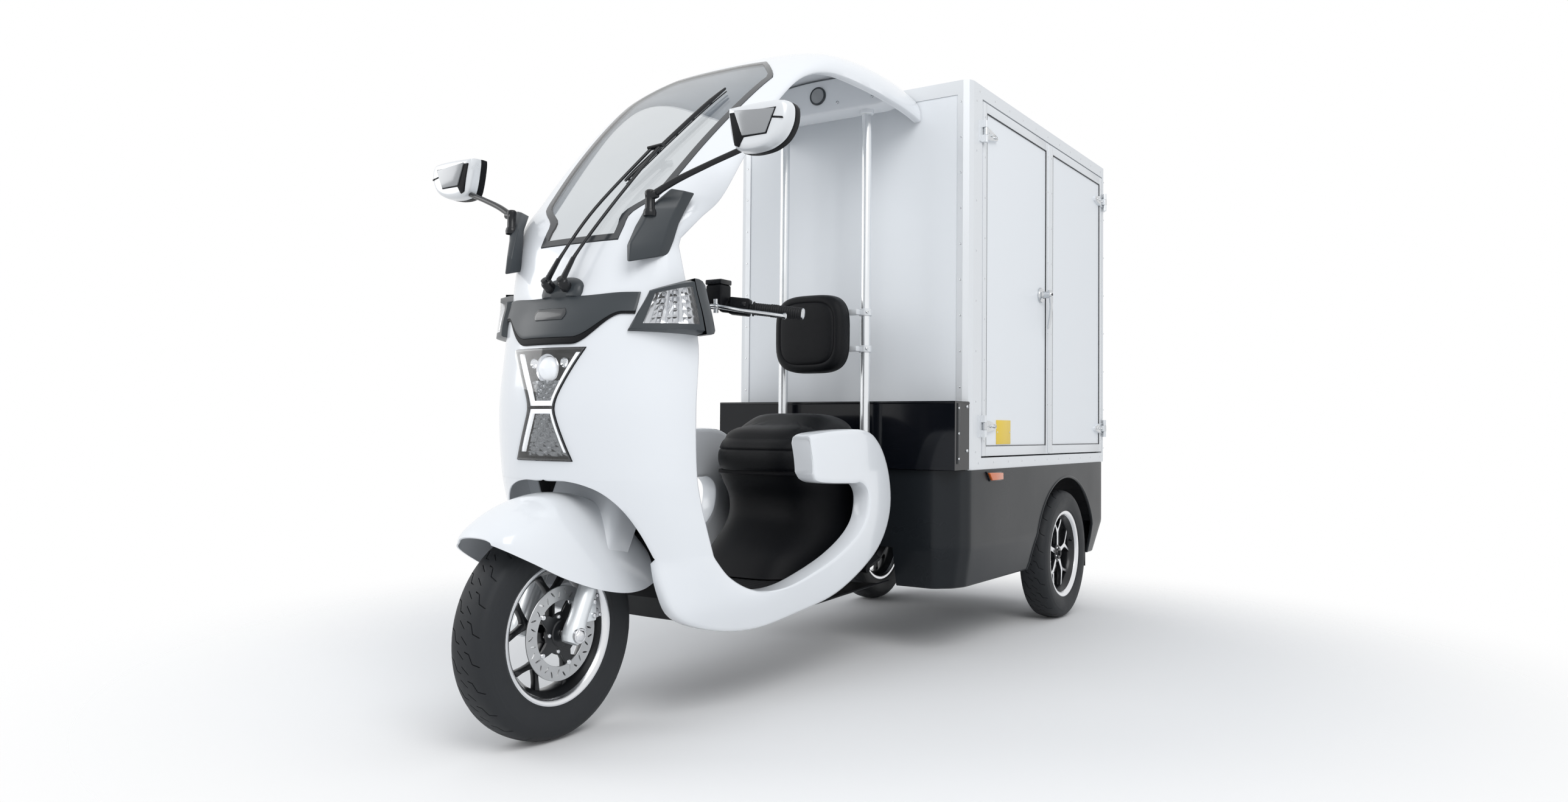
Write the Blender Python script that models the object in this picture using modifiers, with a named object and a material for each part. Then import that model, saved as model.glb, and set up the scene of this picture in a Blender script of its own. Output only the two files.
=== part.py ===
"""Electric three-wheeler with a rider's canopy and a closed cargo box.

Metres, +Z up. The vehicle faces -Y and its left side is +X.
Stations along Y are measured from the front axle, heights from the ground,
and the empty called vehicle shifts it all so that the origin is below the middle.
"""

import bpy
import bmesh
from math import atan2, cos, hypot, pi, radians, sin
from mathutils import Matrix, Vector

# Driving dimensions
GAP = 0.0003                 # between pieces that rest on each other
SEAM = 0.0009                # round a lamp, panel or screen in its opening
SEAT_GAP = 0.0008            # below a piece that lies on a curved skin
SWING_GAP = 0.005            # round each door
SPLIT_GAP = 0.007            # between the two doors
TYRE_RADIUS = 0.250
TYRE_WIDTH = 0.110
BEAD_RADIUS = 0.160
WHEELBASE = 2.340
REAR_TRACK_HALF = 0.405
RAKE = radians(25.0)         # steering axis, leaning back from upright
FORK_OFFSET = 0.050          # axle ahead of the steering axis
FRONT_REACH = TYRE_RADIUS    # front of the tyre, ahead of the axle
BOX_FRONT = 1.395
REAR_OVERHANG = 0.500        # box behind the rear axle
BOX_REAR = WHEELBASE + REAR_OVERHANG
BOX_HALF = 0.457
BOX_BOTTOM = 0.602
BOX_TOP = 1.870
BOX_WALL = 0.022
BOX_RAIL = 0.046             # width of the edge extrusions
CORNER_RADIUS = 0.026
DOOR_FRONT_EDGE = 1.497
DOOR_REAR_EDGE = BOX_REAR - 0.050
DOOR_SPLIT = (DOOR_FRONT_EDGE + DOOR_REAR_EDGE) / 2 - 0.0065
DOOR_BOTTOM = 0.645
DOOR_TOP = BOX_TOP - 0.048
DOOR_THICKNESS = 0.022
SKIRT_FRONT = 1.300
SKIRT_REAR = BOX_REAR - 0.050
SKIRT_BOTTOM = 0.222
SKIRT_WALL = 0.005
SKIRT_HALF = BOX_HALF + 0.003
SKIRT_TUCK = 0.030           # how far the skirt draws in towards its lower edge
TUCK_TOP = SKIRT_BOTTOM + 0.130
TRAY_FRONT = 1.284
TRAY_TOP = 0.822
TRAY_WALL = 0.006
SHELL_WALL = 0.004
POST_RADIUS = 0.016
POST_X = 0.159
POST_Y = 1.242
POST_TOP = 1.805

ORIGIN_SHIFT = (FRONT_REACH - BOX_REAR) / 2
AXLE = Vector((0.0, 0.0, TYRE_RADIUS))
STEER_DIR = Vector((0.0, sin(RAKE), cos(RAKE)))
STEER_FOOT = AXLE + FORK_OFFSET * Vector((0.0, cos(RAKE), -sin(RAKE)))

# Scene and collections
for old in list(bpy.data.objects):
    bpy.data.objects.remove(old, do_unlink=True)


def new_collection(name):
    collection = bpy.data.collections.new(name)
    bpy.context.scene.collection.children.link(collection)
    return collection


PARTS = new_collection("electric_three_wheeler")
TOOLS = new_collection("cutters")

vehicle = bpy.data.objects.new("vehicle", None)
vehicle.location = (0.0, ORIGIN_SHIFT, 0.0)
PARTS.objects.link(vehicle)


def material(name, colour, roughness, metallic=0.0):
    mat = bpy.data.materials.new(name)
    mat.use_nodes = True
    shader = mat.node_tree.nodes["Principled BSDF"]
    shader.inputs["Base Color"].default_value = (*colour, 1.0)
    shader.inputs["Roughness"].default_value = roughness
    shader.inputs["Metallic"].default_value = metallic
    return mat


WHITE_PAINT = material("white_paint", (0.83, 0.85, 0.87), 0.25)
WHITE_PANEL = material("white_panel", (0.78, 0.81, 0.83), 0.40)
ALUMINIUM = material("aluminium", (0.74, 0.76, 0.78), 0.38, 0.8)
CHROME = material("chrome", (0.80, 0.81, 0.82), 0.15, 1.0)
GREY_TRIM = material("dark_grey_trim", (0.07, 0.075, 0.08), 0.45)
GREY_PAINT = material("grey_paint", (0.09, 0.10, 0.11), 0.35)
BLACK_PLASTIC = material("black_plastic", (0.02, 0.021, 0.023), 0.40)
BLACK_GLOSS = material("black_gloss", (0.012, 0.013, 0.015), 0.12)
BLACK_VINYL = material("black_vinyl", (0.03, 0.032, 0.035), 0.60)
RUBBER = material("rubber", (0.03, 0.03, 0.032), 0.80)
STEEL_BLACK = material("black_steel", (0.02, 0.02, 0.022), 0.50, 0.3)
LENS_CLEAR = material("lamp_lens", (0.75, 0.78, 0.80), 0.10)
AMBER = material("amber_lens", (0.85, 0.25, 0.04), 0.25)
RED_LENS = material("red_lens", (0.55, 0.02, 0.02), 0.25)
TINTED = material("tinted_screen", (0.62, 0.66, 0.68), 0.10)


# Making shapes

def add_object(name, mesh, mat, group=PARTS, parent=vehicle):
    obj = bpy.data.objects.new(name, mesh)
    group.objects.link(obj)
    obj.parent = parent
    if mat is not None:
        mesh.materials.clear()
        mesh.materials.append(mat)
    return obj


def mesh_from(bm, name, sharp=radians(35)):
    mesh = bpy.data.meshes.new(name)
    bm.to_mesh(mesh)
    bm.free()
    mesh.shade_smooth()
    mesh.set_sharp_from_angle(angle=sharp)
    return mesh


def axis(name, location, parent=vehicle):
    """An empty on a joint's axis, which carries what turns about it."""
    empty = bpy.data.objects.new(name, None)
    PARTS.objects.link(empty)
    empty.parent = parent
    empty.location = location
    return empty


def box(name, low, high, mat=None, bevel=0.0, segments=1, edges="all"):
    """A box between two corners, with its edges rounded: all of them or the upright ones."""
    low = Vector(low)
    high = Vector(high)
    bm = bmesh.new()
    bmesh.ops.create_cube(bm, size=1.0)
    bmesh.ops.scale(bm, vec=high - low, verts=bm.verts)
    if bevel > 0:
        chosen = [e for e in bm.edges if edges == "all" or abs((e.verts[0].co - e.verts[1].co).z) > 1e-6]
        bmesh.ops.bevel(bm, geom=chosen, offset=bevel, segments=segments, profile=0.5, affect="EDGES")
    obj = add_object(name, mesh_from(bm, name), mat)
    obj.location = (low + high) / 2
    return obj


def rod(name, start, end, radius, mat=None, sides=12, radius_end=None):
    """A cylinder or cone from one point to another."""
    start = Vector(start)
    end = Vector(end)
    bm = bmesh.new()
    far = radius if radius_end is None else radius_end
    bmesh.ops.create_cone(bm, cap_ends=True, segments=sides, radius1=radius, radius2=far,
                          depth=(end - start).length)
    obj = add_object(name, mesh_from(bm, name), mat)
    obj.location = (start + end) / 2
    obj.rotation_mode = "QUATERNION"
    obj.rotation_quaternion = (end - start).to_track_quat("Z", "Y")
    return obj


def turned(name, profile, centre, direction, mat=None, steps=40, closed=True):
    """A turned shape: the profile's (radius, height) points run down its outer side."""
    mesh = bpy.data.meshes.new(name)
    points = [(radius, 0.0, height) for radius, height in profile]
    edges = [(i, i + 1) for i in range(len(points) - 1)]
    if closed:
        edges.append((len(points) - 1, 0))
    mesh.from_pydata(points, edges, [])
    obj = add_object(name, mesh, mat)
    screw = obj.modifiers.new("turn", "SCREW")
    screw.steps = steps
    screw.render_steps = steps
    screw.use_merge_vertices = True
    screw.merge_threshold = 0.00001
    obj.location = centre
    obj.rotation_mode = "QUATERNION"
    obj.rotation_quaternion = Vector(direction).to_track_quat("Z", "Y")
    return obj


def settled(obj, name=None):
    """The object with its modifiers or its curve made into a mesh, caps welded."""
    depsgraph = bpy.context.evaluated_depsgraph_get()
    mesh = bpy.data.meshes.new_from_object(obj.evaluated_get(depsgraph))
    bm = bmesh.new()
    bm.from_mesh(mesh)
    bmesh.ops.remove_doubles(bm, verts=bm.verts, dist=0.00002)
    bm.to_mesh(mesh)
    bm.free()
    mesh.shade_smooth()
    mesh.set_sharp_from_angle(angle=radians(35))
    kept = bpy.data.objects.new("settled", mesh)
    for group in obj.users_collection:
        group.objects.link(kept)
    kept.parent = obj.parent
    kept.location = obj.location
    kept.rotation_mode = "QUATERNION"
    kept.rotation_quaternion = obj.matrix_basis.to_quaternion()
    label = name or obj.name
    bpy.data.objects.remove(obj, do_unlink=True)
    kept.name = label
    return kept


def rounded(points, bend, steps=4):
    """The points of a path with each corner turned into an arc of the given cut-back."""
    points = [Vector(p) for p in points]
    path = [points[0]]
    for before, corner, after in zip(points, points[1:], points[2:]):
        entry = corner + (before - corner).normalized() * bend
        leave = corner + (after - corner).normalized() * bend
        for i in range(steps + 1):
            t = i / steps
            path.append((1 - t) ** 2 * entry + 2 * t * (1 - t) * corner + t ** 2 * leave)
    path.append(points[-1])
    return path


def tube(name, points, radius, mat=None, resolution=3, cyclic=False):
    """A round tube along a path, as a mesh with welded caps."""
    curve = bpy.data.curves.new(name, "CURVE")
    curve.dimensions = "3D"
    curve.bevel_depth = radius
    curve.bevel_resolution = resolution
    curve.use_fill_caps = True
    spline = curve.splines.new("POLY")
    spline.points.add(len(points) - 1)
    for point, place in zip(spline.points, points):
        point.co = (*place, 1.0)
    spline.use_cyclic_u = cyclic
    return settled(add_object(name, curve, mat))


def plate(name, outline, low, high, plane="YZ", mat=None, bevel=0.0, segments=2):
    """A flat outline, given in one plane, filled and drawn out between two offsets."""
    place = {
        "YZ": lambda a, b, off: (off, a, b),
        "XZ": lambda a, b, off: (a, off, b),
        "XY": lambda a, b, off: (a, b, off),
    }[plane]
    bm = bmesh.new()
    face = bm.faces.new([bm.verts.new(place(a, b, low)) for a, b in outline])
    drawn = bmesh.ops.extrude_face_region(bm, geom=[face])
    moved = [v for v in drawn["geom"] if isinstance(v, bmesh.types.BMVert)]
    bmesh.ops.translate(bm, verts=moved, vec=Vector(place(0, 0, high)) - Vector(place(0, 0, low)))
    bmesh.ops.recalc_face_normals(bm, faces=bm.faces)
    if bevel > 0:
        rim = [e for e in bm.edges if len(e.link_faces) == 2 and e.calc_face_angle(0.0) > radians(50)]
        bmesh.ops.bevel(bm, geom=rim, offset=bevel, segments=segments, profile=0.5, affect="EDGES")
    return add_object(name, mesh_from(bm, name), mat)


def weave(bm, grid):
    """Triangles over a grid, split the same way on both sides of its middle column.

    Pieces made on the same grid then share their facets and seat on each other.
    """
    middle = (len(grid[0]) - 1) / 2
    for low_row, high_row in zip(grid, grid[1:]):
        for k, (a, b, c, d) in enumerate(zip(low_row, low_row[1:], high_row[1:], high_row)):
            if k < middle:
                bm.faces.new((a, b, c))
                bm.faces.new((a, c, d))
            else:
                bm.faces.new((a, b, d))
                bm.faces.new((b, c, d))


def skin(name, rows, wall, mat=None, mirrored=True, inward=True, rim_only=False):
    """An open surface through rows of points, made into a wall of the given thickness.

    The rows run along the piece; each row runs from the centre plane outwards.
    With mirrored set, the half is completed across the centre plane.
    """
    full = rows
    if mirrored:
        full = [[Vector((-p[0], p[1], p[2])) for p in reversed(row[1:])] + [Vector(p) for p in row]
                for row in rows]
    bm = bmesh.new()
    weave(bm, [[bm.verts.new(p) for p in row] for row in full])
    obj = add_object(name, mesh_from(bm, name), mat)
    thick = obj.modifiers.new("wall", "SOLIDIFY")
    thick.thickness = wall
    thick.offset = -1.0 if inward else 1.0
    return obj


def slab(name, near, far, mat=None):
    """A closed body between two like grids of points, each completed across the centre plane."""
    bm = bmesh.new()
    grids = []
    for rows in (near, far):
        grid = []
        for row in rows:
            whole = [Vector((-p[0], p[1], p[2])) for p in reversed(row[1:])] + [Vector(p) for p in row]
            grid.append([bm.verts.new(p) for p in whole])
        grids.append(grid)
        weave(bm, grid)
    rims = []
    for grid in grids:
        rims.append(grid[0] + [row[-1] for row in grid[1:]] + grid[-1][-2::-1] + [row[0] for row in grid[-2:0:-1]])
    lower, upper = rims
    for i in range(len(lower)):
        j = (i + 1) % len(lower)
        bm.faces.new((lower[i], lower[j], upper[j], upper[i]))
    bmesh.ops.recalc_face_normals(bm, faces=bm.faces)
    return add_object(name, mesh_from(bm, name), mat)


def loft(name, sections, mat=None):
    """A closed body through like closed sections, with flat ends."""
    bm = bmesh.new()
    rings = [[bm.verts.new(p) for p in section] for section in sections]
    for near, far in zip(rings, rings[1:]):
        for i in range(len(near)):
            j = (i + 1) % len(near)
            bm.faces.new((near[i], near[j], far[j], far[i]))
    bm.faces.new(list(reversed(rings[0])))
    bm.faces.new(rings[-1])
    bmesh.ops.recalc_face_normals(bm, faces=bm.faces)
    return add_object(name, mesh_from(bm, name), mat)


def round_rectangle(half_a, half_b, power=4.0, count=16):
    """Points of a superellipse, a rectangle with soft corners."""
    ring = []
    for i in range(count):
        t = 2 * pi * (i + 0.5) / count
        c, s = cos(t), sin(t)
        ring.append((half_a * abs(c) ** (2 / power) * (1 if c > 0 else -1),
                     half_b * abs(s) ** (2 / power) * (1 if s > 0 else -1)))
    return ring


def as_tool(obj):
    for group in list(obj.users_collection):
        group.objects.unlink(obj)
    TOOLS.objects.link(obj)
    obj.hide_render = True
    obj.display_type = "WIRE"


def combine(body, operation, tools):
    for tool in tools:
        step = body.modifiers.new(operation.lower() + " " + tool.name, "BOOLEAN")
        step.operation = operation
        step.solver = "EXACT"
        step.object = tool
        as_tool(tool)
    return body


def join(body, *tools):
    return combine(body, "UNION", tools)


def cut(body, *tools):
    return combine(body, "DIFFERENCE", tools)


def mirrored_copy(obj, name):
    """The same piece on the other side of the centre plane."""
    depsgraph = bpy.context.evaluated_depsgraph_get()
    mesh = bpy.data.meshes.new_from_object(obj.evaluated_get(depsgraph))
    bm = bmesh.new()
    bm.from_mesh(mesh)
    bmesh.ops.triangulate(bm, faces=bm.faces)
    bm.to_mesh(mesh)
    bm.free()
    mesh.transform(Matrix.Scale(-1.0, 4, (1.0, 0.0, 0.0)) @ obj.matrix_basis)
    mesh.flip_normals()
    mesh.shade_smooth()
    mesh.set_sharp_from_angle(angle=radians(35))
    twin = bpy.data.objects.new(name, mesh)
    PARTS.objects.link(twin)
    twin.parent = obj.parent
    return twin


def carry(empty, *pieces):
    """Hang pieces, made in the vehicle's frame, on a joint's empty."""
    bpy.context.view_layer.update()
    for piece in pieces:
        piece.parent = empty
        piece.matrix_parent_inverse = (vehicle.matrix_world.inverted() @ empty.matrix_world).inverted()


# Wheels

RIM_WALL = 0.006
RIM_HALF = 0.046             # half width of the barrel, over the flanges
FLANGE_RADIUS = BEAD_RADIUS + 0.010
FLANGE_INNER = 0.043         # the flange's inner face, from the wheel's middle plane
WHEEL_STEPS = 24
HUB_RADIUS = 0.036
HUB_HALF = 0.025
SPOKES = 5
SPOKE_WIDTH = 0.020
SPOKE_DEPTH = 0.016
SPOKE_FORK = 0.085           # radius where a spoke splits in two
SPOKE_SPREAD = radians(17)   # between a spoke's line and the end of each arm, about the axle


def tyre(name, centre, mat=RUBBER):
    """A hollow carcass: crown, shoulders, bulged walls and beads."""
    half = TYRE_WIDTH / 2
    seat = FLANGE_INNER - 2 * GAP
    outer = [(BEAD_RADIUS + GAP, seat), (FLANGE_RADIUS + 0.001, seat + 0.0032), (0.205, half),
             (0.240, half * 0.80), (TYRE_RADIUS, half * 0.30)]
    down = outer + [(r, -h) for r, h in reversed(outer)]
    inner = [(BEAD_RADIUS + GAP, 0.010 - seat), (TYRE_RADIUS - 0.016, 0.0), (BEAD_RADIUS + GAP, seat - 0.010)]
    return turned(name, down + inner, centre, (1, 0, 0), mat, steps=WHEEL_STEPS)


def spoke_outline(reach):
    """The star of spokes, each a stem that splits in two, seen along the axle."""
    half = SPOKE_WIDTH / 2
    arm = SPOKE_WIDTH * 0.31 / reach
    points = []
    for i in range(SPOKES):
        middle = 2 * pi * i / SPOKES + pi / 2
        # radius, angle from the spoke's line
        for radius, lean in ((HUB_RADIUS * 0.8, -half / HUB_RADIUS), (SPOKE_FORK - 0.006, -half / SPOKE_FORK),
                             (reach, -SPOKE_SPREAD - arm), (reach, -SPOKE_SPREAD + arm), (SPOKE_FORK + 0.012, 0.0),
                             (reach, SPOKE_SPREAD - arm), (reach, SPOKE_SPREAD + arm),
                             (SPOKE_FORK - 0.006, half / SPOKE_FORK), (HUB_RADIUS * 0.8, half / HUB_RADIUS)):
            points.append((radius * cos(middle + lean), radius * sin(middle + lean)))
    return points


def rim(name, centre, outward, mat=ALUMINIUM):
    """A cast rim: a barrel with two flanges, a hub, and spokes that each split in two."""
    flange = FLANGE_RADIUS
    well = BEAD_RADIUS - 0.024
    profile = [(flange, RIM_HALF), (BEAD_RADIUS, FLANGE_INNER), (well, 0.016), (well, -0.016),
               (BEAD_RADIUS, -FLANGE_INNER), (flange, -RIM_HALF), (BEAD_RADIUS - RIM_WALL, -RIM_HALF), (well - RIM_WALL, -0.014),
               (well - RIM_WALL, 0.014), (BEAD_RADIUS - RIM_WALL, RIM_HALF)]
    barrel = turned(name, profile, centre, (1, 0, 0), mat, steps=WHEEL_STEPS)
    face = outward * 0.010
    hub = rod(name + "_hub", Vector(centre) - Vector((HUB_HALF, 0, 0)), Vector(centre) + Vector((HUB_HALF, 0, 0)), HUB_RADIUS)
    spokes = plate(name + "_spokes", spoke_outline(well - 0.003), face - SPOKE_DEPTH / 2, face + SPOKE_DEPTH / 2, "YZ")
    spokes.location = centre
    join(barrel, hub, spokes)
    reach = Vector((0.04, 0, 0))
    bore = rod(name + "_bore", Vector(centre) - reach, Vector(centre) + reach, BORE_RADIUS, sides=AXLE_SIDES)
    return cut(barrel, bore)


AXLE_RADIUS = 0.010
AXLE_SIDES = 12
BORE_RADIUS = AXLE_RADIUS / cos(pi / AXLE_SIDES) + GAP


def front_wheel_pieces():
    spin = axis("front_wheel_axis", AXLE)
    pieces = [tyre("front_tyre", AXLE), rim("front_rim", AXLE, 1), brake_disc()]
    carry(spin, *pieces)
    return spin


DISC_X = 0.047
DISC_RADIUS = 0.110
DISC_INNER = 0.078
DISC_THICKNESS = 0.004
DISC_SLOTS = 8


def brake_disc():
    """A slotted steel ring on a five-armed carrier, on the wheel's left."""
    half = DISC_THICKNESS / 2
    ring = turned("brake_disc", [(DISC_RADIUS, half), (DISC_RADIUS, -half), (DISC_INNER, -half), (DISC_INNER, half)],
                  AXLE + Vector((DISC_X, 0, 0)), (1, 0, 0), CHROME, steps=WHEEL_STEPS)
    bm = bmesh.new()
    hub_low = HUB_HALF + GAP - DISC_X
    hub_depth = 0.005 - hub_low
    hub_centre = hub_low + hub_depth / 2
    bmesh.ops.create_cone(bm, cap_ends=True, segments=10, radius1=0.036, radius2=0.036, depth=hub_depth,
                          matrix=Matrix.Translation((hub_centre, 0, 0)) @ Matrix.Rotation(pi / 2, 4, "Y"))
    for i in range(5):
        angle = 2 * pi * i / 5
        turn = Matrix.Rotation(angle, 4, "X")
        arm = Matrix.Translation((-0.001, 0.058, 0)) @ Matrix.Diagonal((0.005, 0.048, 0.016, 1.0))
        bmesh.ops.create_cube(bm, size=1.0, matrix=turn @ arm)
    carrier = add_object("disc_carrier", mesh_from(bm, "disc_carrier"), CHROME)
    carrier.location = AXLE + Vector((DISC_X, 0, 0))
    step = ring.modifiers.new("carrier", "BOOLEAN")
    step.operation = "UNION"
    step.solver = "EXACT"
    step.use_self = True
    step.object = carrier
    as_tool(carrier)
    bm = bmesh.new()
    for i in range(DISC_SLOTS):
        angle = 2 * pi * i / DISC_SLOTS
        radius = 0.0925 + 0.005 * (1 if i % 2 else -1)
        turn = Matrix.Rotation(angle, 4, "X") @ Matrix.Translation((0, radius, 0)) @ Matrix.Rotation(0.6, 4, "X")
        bmesh.ops.create_cube(bm, size=1.0, matrix=turn @ Matrix.Diagonal((0.02, 0.018, 0.005, 1.0)))
    slots = add_object("disc_slots", mesh_from(bm, "disc_slots"), None)
    slots.location = AXLE + Vector((DISC_X, 0, 0))
    bore = rod("disc_bore", AXLE + Vector((DISC_X - 0.03, 0, 0)), AXLE + Vector((DISC_X + 0.03, 0, 0)), BORE_RADIUS,
               sides=AXLE_SIDES)
    return cut(ring, slots, bore)


def rear_wheel_pieces():
    for side, sign in (("left", 1), ("right", -1)):
        centre = Vector((sign * REAR_TRACK_HALF, WHEELBASE, TYRE_RADIUS))
        spin = axis("rear_" + side + "_wheel_axis", centre)
        carry(spin, tyre("rear_" + side + "_tyre", centre), rim("rear_" + side + "_rim", centre, sign))


# Steering

LEG_X = 0.084
LEG_RADIUS = 0.018
SLIDER_RADIUS = 0.0235
CROWN_HALF = LEG_X + 0.022
CROWN_START = 0.286          # along the axis from the axle's height
CROWN_END = 0.322
STEM_RADIUS = 0.016
HEAD_START = 0.600           # the head tube's ends, along the steering axis
HEAD_END = 0.760
BAR_AT = 0.868
CLAMP_DROP = 0.045


def on_steering(distance, ahead=0.0, x=0.0):
    """A point along the steering axis, and ahead of it by some distance."""
    ahead_dir = Vector((0.0, -cos(RAKE), sin(RAKE)))
    return STEER_FOOT + STEER_DIR * distance + ahead_dir * ahead + Vector((x, 0, 0))


STAY = AXLE + Vector((0, 0.075, 0.160))
STAY_END = 0.1260
STAY_RADIUS = 0.007


def fork():
    """Two legs, each a slider with a foot on the axle, the crown and the steering stem."""
    crown = box("fork", (-CROWN_HALF, -0.024, CROWN_START), (CROWN_HALF, FORK_OFFSET + 0.024, CROWN_END),
                ALUMINIUM, bevel=0.008)
    crown.matrix_basis = (Matrix.Translation(STEER_FOOT) @ Matrix.Rotation(-RAKE, 4, "X")
                          @ Matrix.Translation((0, -FORK_OFFSET / 2, (CROWN_START + CROWN_END) / 2)))
    tools = [rod("stem", on_steering(CROWN_START + 0.010), on_steering(BAR_AT - CLAMP_DROP - GAP), STEM_RADIUS, sides=12)]
    for name, sign in (("left", 1), ("right", -1)):
        x = sign * LEG_X
        tools.append(rod("leg_" + name, on_steering(0.150, FORK_OFFSET, x), on_steering(CROWN_END - 0.006, FORK_OFFSET, x),
                         LEG_RADIUS, sides=8))
        tools.append(rod("slider_" + name, on_steering(0.030, FORK_OFFSET, x), on_steering(0.205, FORK_OFFSET, x),
                         SLIDER_RADIUS, sides=8))
        tools.append(rod("foot_" + name, AXLE + Vector((x - 0.014, 0, 0)), AXLE + Vector((x + 0.014, 0, 0)), 0.026,
                         sides=10))
        tools.append(rod("foot_arm_" + name, on_steering(0.0, FORK_OFFSET, x), on_steering(0.045, FORK_OFFSET, x), 0.020,
                         sides=8))
        tools.append(rod("fender_stay_" + name, STAY + Vector((x, 0, 0)), STAY + Vector((sign * STAY_END, 0, 0)), STAY_RADIUS, sides=6))
    mount = CALIPER_HALF + GAP
    tools.append(box("caliper_mount", CALIPER + Vector((mount, -0.070, -0.022)), CALIPER + Vector((mount + 0.008, 0.018, 0.022))))
    axle = rod("front_axle", AXLE - Vector((LEG_X + 0.020, 0, 0)), AXLE + Vector((LEG_X + 0.020, 0, 0)),
               AXLE_RADIUS, sides=AXLE_SIDES)
    tools.append(axle)
    return join(crown, *tools)


DISC_GRIP = radians(30)      # the caliper's place round the disc, above the horizontal
CALIPER = AXLE + Vector((DISC_X, 0.104 * cos(DISC_GRIP), 0.104 * sin(DISC_GRIP)))
CALIPER_HALF = 0.020


def brake_caliper():
    """A two-piston caliper behind the left leg, straddling the disc and seated on the leg's mount."""
    turn = Matrix.Rotation(DISC_GRIP, 4, "X")
    body = box("brake_caliper", (-CALIPER_HALF, -0.022, -0.030), (CALIPER_HALF, 0.022, 0.030), ALUMINIUM, bevel=0.005)
    body.matrix_basis = Matrix.Translation(CALIPER) @ turn
    mouth = box("caliper_mouth", (-0.006, -0.060, -0.060), (0.006, 0.012, 0.060))
    mouth.matrix_basis = Matrix.Translation(CALIPER) @ turn @ Matrix.Translation((0, -0.024, 0))
    return cut(body, mouth)


FENDER_WALL = 0.004
# crown station and height, lower edge station and height, half width
FENDER_SECTIONS = [
    (-0.222, 0.486, -0.219, 0.472, 0.052),
    (-0.188, 0.515, -0.196, 0.456, 0.084),
    (-0.125, 0.551, -0.138, 0.426, 0.105),
    (-0.040, 0.573, -0.056, 0.387, 0.115),
    (0.050, 0.572, 0.045, 0.352, 0.120),
    (0.130, 0.548, 0.135, 0.333, 0.122),
    (0.195, 0.508, 0.200, 0.333, 0.122),
    (0.238, 0.462, 0.243, 0.345, 0.120),
]


def front_fender():
    """A deep one-piece fender over the front wheel, open below, with a notch for the fork crown."""
    rows = []
    for crown_y, crown_z, edge_y, edge_z, half in FENDER_SECTIONS:
        row = []
        for i in range(6):
            a = pi / 2 * i / 5
            x = half * sin(a) ** 0.80
            drop = 1 - cos(a) ** 0.80
            row.append(Vector((x, crown_y + (edge_y - crown_y) * drop, crown_z + (edge_z - crown_z) * drop)))
        rows.append(row)
    body = skin("front_fender", rows, FENDER_WALL, WHITE_PAINT, inward=True)
    room = 0.006
    notch = box("fender_notch", (-CROWN_HALF - room, -0.055, -0.090), (CROWN_HALF + room, 0.055, 0.090))
    notch.matrix_basis = (Matrix.Translation(on_steering(0.31)) @ Matrix.Rotation(-RAKE, 4, "X")
                          @ Matrix.Translation((0, -FORK_OFFSET / 2, 0.005)))
    holes = rod("stay_holes", STAY - Vector((0.15, 0, 0)), STAY + Vector((0.15, 0, 0)), STAY_RADIUS + GAP, sides=6)
    return cut(body, notch, holes)


GRIP_X = 0.365
BAR_RADIUS = 0.011
GRIP_RADIUS = 0.0165


def handlebar():
    """A swept-back bar with its clamp, covers, grips, switch boxes, reservoirs and levers."""
    centre = on_steering(BAR_AT)
    left = [centre + Vector(p) for p in ((0, 0, 0.0), (0.10, -0.015, 0.035), (0.20, 0.030, 0.032), (GRIP_X, 0.105, 0.012))]
    right = [Vector((-p.x, p.y, p.z)) for p in left]
    path = rounded(list(reversed(right)) + left[1:], 0.030, 2)
    bar = tube("handlebar", path, BAR_RADIUS, BLACK_PLASTIC, resolution=1)
    tools = [rod("bar_clamp", on_steering(BAR_AT - CLAMP_DROP), on_steering(BAR_AT + 0.022), 0.026, sides=10)]
    cover_low = centre + Vector((-0.085, -0.050, -0.035))
    cover_high = centre + Vector((0.085, 0.045, 0.058))
    tools.append(box("bar_cover", cover_low, cover_high, bevel=0.020))
    for name, sign in (("left", 1), ("right", -1)):
        def at(t, up=0.0, back=0.0):
            inner, outer = left[2], left[3]
            p = inner.lerp(outer, t)
            return Vector((sign * p.x, p.y + back, p.z + up))
        tools.append(rod("grip_" + name, at(0.32), at(1.06), GRIP_RADIUS, sides=8))
        tools.append(rod("grip_flange_" + name, at(0.30), at(0.345), GRIP_RADIUS + 0.006, sides=8))
        tools.append(rod("switch_box_" + name, at(0.02), at(0.29), 0.025, sides=8))
        perch = at(-0.16)
        tools.append(box("reservoir_" + name, perch + Vector((-0.026, -0.028, -0.004)), perch + Vector((0.026, 0.020, 0.066))))
        tools.append(tube("lever_" + name, [at(-0.16, -0.004, -0.030), at(0.10, -0.006, -0.058), at(0.55, -0.010, -0.052),
                                           at(0.95, -0.012, -0.046)], 0.0065, resolution=1))
        tools.append(rod("lever_pivot_" + name, at(-0.14, -0.012, -0.002), at(-0.10, -0.006, -0.040), 0.014, sides=8))
    return join(bar, *tools)


def steering_pieces():
    turn = axis("steering_axis", STEER_FOOT)
    spin = front_wheel_pieces()
    carry(turn, fork(), brake_caliper(), front_fender(), handlebar())
    carry(turn, spin)


# Chassis

RAIL_RADIUS = 0.017
HEAD_BORE = STEM_RADIUS / cos(pi / 12) + 0.0004
POST_FOOT = 0.350
RAIL_X = 0.130
FLOOR_Z = 0.286
FLOOR_WALL = 0.005
RAIL_FLAT = RAIL_RADIUS * cos(pi / 6)
RAIL_Z = FLOOR_Z - FLOOR_WALL - GAP - RAIL_FLAT
REAR_RAIL_X = 0.230
REAR_RAIL_Z = BOX_BOTTOM - RAIL_FLAT - 0.0008


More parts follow.
